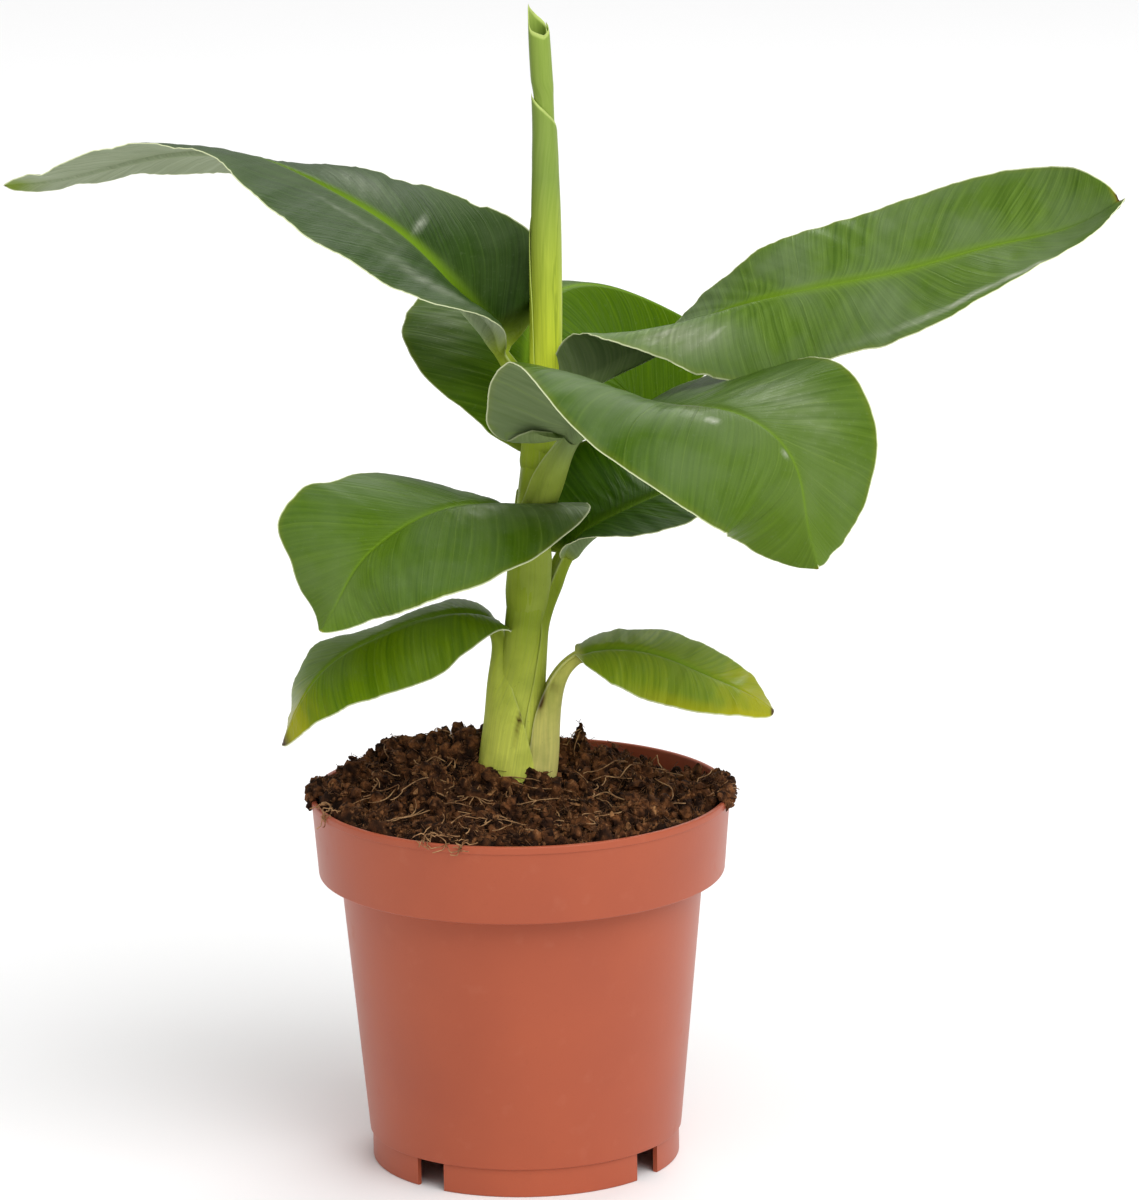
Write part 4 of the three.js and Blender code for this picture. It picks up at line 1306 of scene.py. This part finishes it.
def scatterPoints(tree, given):  # about Count points over the whole given surface
    faceArea = tree.nodes.new("GeometryNodeInputMeshFaceArea").outputs[0]
    area = addNode(tree, "GeometryNodeAttributeStatistic", {
        "Geometry": given["Geometry"], "Attribute": faceArea}, domain="FACE")
    density = calculate(tree, "DIVIDE", given["Count"], area.outputs["Sum"])
    return addNode(tree, "GeometryNodeDistributePointsOnFaces", {
        "Mesh": given["Geometry"], "Density": density, "Seed": given["Seed"]}).outputs["Points"]


def randomVector(tree, low, high, seed):
    return addNode(tree, "FunctionNodeRandomValue", {"Min": low, "Max": high, "Seed": seed},
                   data_type="FLOAT_VECTOR").outputs[0]


def randomSize(tree, sizes, power, seed):  # mostly small
    made = addNode(tree, "FunctionNodeRandomValue", {"Seed": seed}, data_type="FLOAT")
    return remap(tree, calculate(tree, "POWER", made.outputs[1], power), 0.0, 1.0, to=sizes)


def scatterCopies(tree, points, shape, turn, size):
    copies = addNode(tree, "GeometryNodeInstanceOnPoints", {
        "Points": points, "Instance": shape, "Rotation": turn, "Scale": size}).outputs[0]
    return addNode(tree, "GeometryNodeRealizeInstances", {0: copies}).outputs[0]


def noisePush(tree, scale, detail, amount):  # a smooth random offset
    cloud = addNode(tree, "ShaderNodeTexNoise", {"Scale": scale, "Detail": detail}).outputs["Color"]
    centred = vectors(tree, "SUBTRACT", {0: cloud, 1: (0.5, 0.5, 0.5)})
    return vectors(tree, "SCALE", {0: centred, "Scale": amount})


looseShape = {
    "clodSquash": ((0.7, 0.55, 0.4), (1.3, 1.0, 0.85)),
    "clodPower": 2.4,  # the higher, the fewer large ones
    "clodNoise": (760.0, 2.0),
    "fibrePower": 1.8,
    "fibreNoise": (95.0, 1.5),
    "fullTurn": 6.28,
    "rayStart": 0.05,
    "rayLength": 0.2,
}


def makeClodTree():
    tree, ids, given, result = geometryTree("clods", {
        "Count": 1000, "Smallest": 0.001, "Largest": 0.003, "Roundness": 2, "Roughness": 0.4,
        "Stretch": (1, 1, 1), "Seed": 1})
    rule = looseShape
    points = scatterPoints(tree, given)
    ball = addNode(tree, "GeometryNodeMeshIcoSphere", {"Radius": 1.0, "Subdivisions": given["Roundness"]})
    turn = randomVector(tree, (0, 0, 0), (rule["fullTurn"],) * 3, given["Seed"])
    squash = randomVector(tree, *rule["clodSquash"], given["Seed"])
    size = randomSize(tree, (given["Smallest"], given["Largest"]), rule["clodPower"], given["Seed"])
    squash = vectors(tree, "MULTIPLY", {0: squash, 1: given["Stretch"]})
    full = vectors(tree, "SCALE", {0: squash, "Scale": size})
    clods = scatterCopies(tree, points, ball.outputs["Mesh"], turn, full)
    push = noisePush(tree, *rule["clodNoise"], times(tree, given["Roughness"], given["Largest"]))
    paintTree(tree, shift(tree, clods, Offset=push), given, result)
    return tree, ids


def makeFibreTree():
    tree, ids, given, result = geometryTree("fibres", {
        "Count": 300, "Shortest": 0.006, "Longest": 0.03, "Radius": 0.0001, "Bend": 0.01, "Lift": 0.001,
        "Drape": 1.0, "Tilt": 0.3, "Steps": 12, "Sides": 5, "Seed": 1})
    rule = looseShape
    points = scatterPoints(tree, given)
    strand = addNode(tree, "GeometryNodeCurvePrimitiveLine", {"Start": (-0.5, 0, 0), "End": (0.5, 0, 0)})
    steps = addNode(tree, "GeometryNodeResampleCurve", {"Curve": strand.outputs[0], "Count": given["Steps"]})
    turn = randomVector(tree, (0, -1, 0), (0, 1, rule["fullTurn"]), given["Seed"])
    turn = vectors(tree, "MULTIPLY", {0: turn, 1: combine(tree, 0.0, given["Tilt"], 1.0)})
    size = randomSize(tree, (given["Shortest"], given["Longest"]), rule["fibrePower"], given["Seed"])
    strands = scatterCopies(tree, points, steps.outputs[0], turn, size)
    strands = shift(tree, strands, Offset=noisePush(tree, *rule["fibreNoise"], given["Bend"]))

    here = tree.nodes.new("GeometryNodeInputPosition").outputs[0]
    above = vectors(tree, "ADD", {0: here, 1: (0, 0, rule["rayStart"])})
    drop = addNode(tree, "GeometryNodeRaycast", {
        "Target Geometry": given["Geometry"], "Source Position": above, "Ray Direction": (0, 0, -1),
        "Ray Length": rule["rayLength"]})
    landing = split(tree, drop.outputs["Hit Position"])[2]
    fall = times(tree, calculate(tree, "SUBTRACT", landing, split(tree, here)[2]), drop.outputs["Is Hit"])
    fall = calculate(tree, "MULTIPLY_ADD", fall, given["Drape"], given["Lift"])
    strands = shift(tree, strands, Offset=combine(tree, 0.0, 0.0, fall))
    ring = addNode(tree, "GeometryNodeCurvePrimitiveCircle", {
        "Resolution": given["Sides"], "Radius": given["Radius"]})
    tube = addNode(tree, "GeometryNodeCurveToMesh", {
        "Curve": strands, "Profile Curve": ring.outputs[0], "Fill Caps": True})
    paintTree(tree, tube.outputs[0], given, result)
    return tree, ids


def groundMesh(name, points, free):  # the part of the soil's top that loose bits may lie on
    faces = gridFaces(*points.shape[:2], wrap=True)
    return plainMesh(name, place(points.reshape(-1, 3)), faces[free.ravel()[faces].all(axis=1)])


rim = {
    "profile": [(-4.5, -1.2), (-2.2, 2.2), (0, 1.4), (0.5, -2.2)],  # beyond the rim's radius and height
    "steps": 12,
    "spill": [(-16, 13), (171, 189)],  # degrees round the rim
    "tufts": [(243, 256), (197, 206), (-14, -5)],
}


def rimMesh(name, spans):  # patches on the rim where soil and fibres spill over
    points, faces = [], []
    steps = rim["steps"]
    for low, high in spans:
        a = np.radians(np.linspace(low, high, steps))
        faces += [list(f + len(points) * steps) for f in gridFaces(len(rim["profile"]), steps)]
        points += [polar(rimRadius + beyond, a, rimHeight + above) for beyond, above in rim["profile"]]
    return plainMesh(name, place(np.concatenate(points)), faces)


# Each piece: its tree, the ground under it, its material, how far its seed is from the soil's, its inputs.
looseSoil = {
    "soil_clods": ("clods", "middle", "coir clods", 0, {
        "Count": 1900, "Smallest": 0.6 * mm, "Largest": 2.9 * mm, "Roundness": 2, "Roughness": 1.05}),
    "soil_crumbs": ("clods", "rough", "coir crumbs", 1, {
        "Count": 9000, "Smallest": 0.25 * mm, "Largest": 1.1 * mm, "Roundness": 1, "Roughness": 0.9}),
    "soil_chips": ("clods", "middle", "coir flakes", 6, {
        "Count": 620, "Smallest": 0.5 * mm, "Largest": 1.3 * mm, "Roundness": 1, "Roughness": 0.35,
        "Stretch": (2.2, 0.9, 0.26)}),
    "soil_fibres": ("fibres", "calm", "coir fibre", 2, {
        "Count": 120, "Shortest": 5 * mm, "Longest": 22 * mm, "Radius": 0.16 * mm, "Bend": 17 * mm,
        "Lift": 0.5 * mm, "Drape": 0.85, "Tilt": 0.1, "Steps": 14, "Sides": 5}),
    "soil_fuzz": ("fibres", "rough", "coir fuzz", 3, {
        "Count": 5200, "Shortest": 1.2 * mm, "Longest": 5.5 * mm, "Radius": 0.09 * mm, "Bend": 3.5 * mm,
        "Lift": 0.5 * mm, "Drape": 0.0, "Tilt": 0.8, "Steps": 5, "Sides": 3}),
    "soil_spill": ("clods", "spill", "coir clods", 4, {
        "Count": 330, "Smallest": 0.4 * mm, "Largest": 1.9 * mm, "Roundness": 2, "Roughness": 1.0}),
    "soil_tufts": ("fibres", "tufts", "coir fibre", 5, {
        "Count": 70, "Shortest": 3 * mm, "Longest": 9 * mm, "Radius": 0.15 * mm, "Bend": 6 * mm,
        "Lift": 0.2 * mm, "Drape": 0.5, "Tilt": 0.3, "Steps": 12, "Sides": 5}),
}
loosePaint = {
    "coir clods": (makeSoilMaterial, sRgb(130, 82, 47), sRgb(42, 23, 12)),
    "coir crumbs": (makeSoilMaterial, sRgb(152, 102, 62), sRgb(50, 28, 15)),
    "coir flakes": (makeSoilMaterial, sRgb(188, 136, 88), sRgb(112, 74, 44)),
    "coir fibre": (makeFibreMaterial, sRgb(112, 74, 44), sRgb(190, 148, 104)),
    "coir fuzz": (makeFibreMaterial, sRgb(52, 32, 20), sRgb(128, 90, 60)),
}
looseGround = {"rough": 3.6, "middle": 5.6, "calm": 9}  # how far inside the rim each ground ends
calmHeight = 1.5


def buildSoilCover(x, y, z, relief):
    clearX, clearRadius = soil["stemClear"]
    free = np.hypot(x - clearX, y) > clearRadius
    lumpy, calm = [np.stack([x, y, height], -1) for height in (z + relief, z + calmHeight)]
    grounds = {name: rimMesh(name, rim[name]) for name in ("spill", "tufts")}
    for name, inside in looseGround.items():
        within = free & (np.hypot(x, y) < rimRadius - inside)
        grounds[name] = groundMesh(name + " ground", calm if name == "calm" else lumpy, within)
    trees = {"clods": makeClodTree(), "fibres": makeFibreTree()}
    materials = {name: make(name, *colours) for name, (make, *colours) in loosePaint.items()}
    for name, (kind, ground, paint, seed, values) in looseSoil.items():
        values = {**values, "Seed": soil["seed"] + seed, "Material": materials[paint]}
        finishPiece(bakeTree(name, grounds[ground], *trees[kind], values), "soil")


print("filling the pot with soil")
buildSoilCover(*buildSoilBed())


studio = {
    "cameraPlace": (14.674, -2000.0, 653.05),  # millimetres from the pot's axis
    "cameraPitch": 13.767,
    "cameraRoll": -0.814,
    "lens": 217.95,
    "farthest": 20,
    "floorSize": 6.0,
    "floorColour": (0.9, 0.9, 0.9),
    "floorRoughness": 0.9,
    "sky": 0.5,
    "sun": 2.1,
    "sunFrom": (0.55, -0.75, 1.25),
    "sunSpread": 55,  # degrees across, so that its shadows are soft
    "lampTarget": (0, 0, 0.2),
    "lamps": {
        "key softbox": ((0.9, -1.5, 1.1), (0.8, 0.8), 3.6),
        "rear softbox": ((0.4, 1.1, 1.3), (1.0, 0.8), 9),
    },  # place, size and power
}


def buildFloor():
    half = studio["floorSize"] / 2
    corners = [(-half, -half, 0), (half, -half, 0), (half, half, 0), (-half, half, 0)]
    material, tree, surface = newMaterial("pale floor")
    feed(tree, surface["Base Color"], studio["floorColour"])
    feed(tree, surface["Roughness"], studio["floorRoughness"])
    floor = makePiece("floor", corners, [[0, 1, 2, 3]], [material])


def buildCamera():
    pitch, roll = math.radians(studio["cameraPitch"]), math.radians(studio["cameraRoll"])
    forward = Vector((0, math.cos(pitch), -math.sin(pitch)))
    level = Vector((1, 0, 0))
    upward = level.cross(forward)
    right = level * math.cos(roll) + upward * math.sin(roll)
    up = upward * math.cos(roll) - level * math.sin(roll)
    data = bpy.data.cameras.new("camera")
    data.lens = studio["lens"]
    data.clip_end = studio["farthest"]
    camera = addObject("camera", data)
    turn = Matrix((right, up, -forward)).transposed().to_4x4()
    camera.matrix_world = Matrix.Translation(Vector(place(studio["cameraPlace"]))) @ turn
    bpy.context.scene.camera = camera


def addLamp(name, kind, power, aim):
    data = bpy.data.lights.new(name, kind)
    data.energy = power
    lamp = addObject(name, data)
    lamp.rotation_euler = aim.to_track_quat("-Z", "Y").to_euler()
    return lamp


def buildLights():
    world = bpy.data.worlds.new("studio")
    world.use_nodes = True
    sky = world.node_tree.nodes["Background"].inputs
    sky["Color"].default_value = (1, 1, 1, 1)
    sky["Strength"].default_value = studio["sky"]
    bpy.context.scene.world = world
    sun = addLamp("soft overhead light", "SUN", studio["sun"], -Vector(studio["sunFrom"]))
    sun.data.angle = math.radians(studio["sunSpread"])
    for name, (spot, (width, height), power) in studio["lamps"].items():
        lamp = addLamp(name, "AREA", power, Vector(studio["lampTarget"]) - Vector(spot))
        lamp.location = spot
        lamp.data.shape = "RECTANGLE"
        lamp.data.size, lamp.data.size_y = width, height


print("setting up the studio")
buildFloor()
buildCamera()
buildLights()
bpy.context.scene.view_settings.view_transform = "Standard"
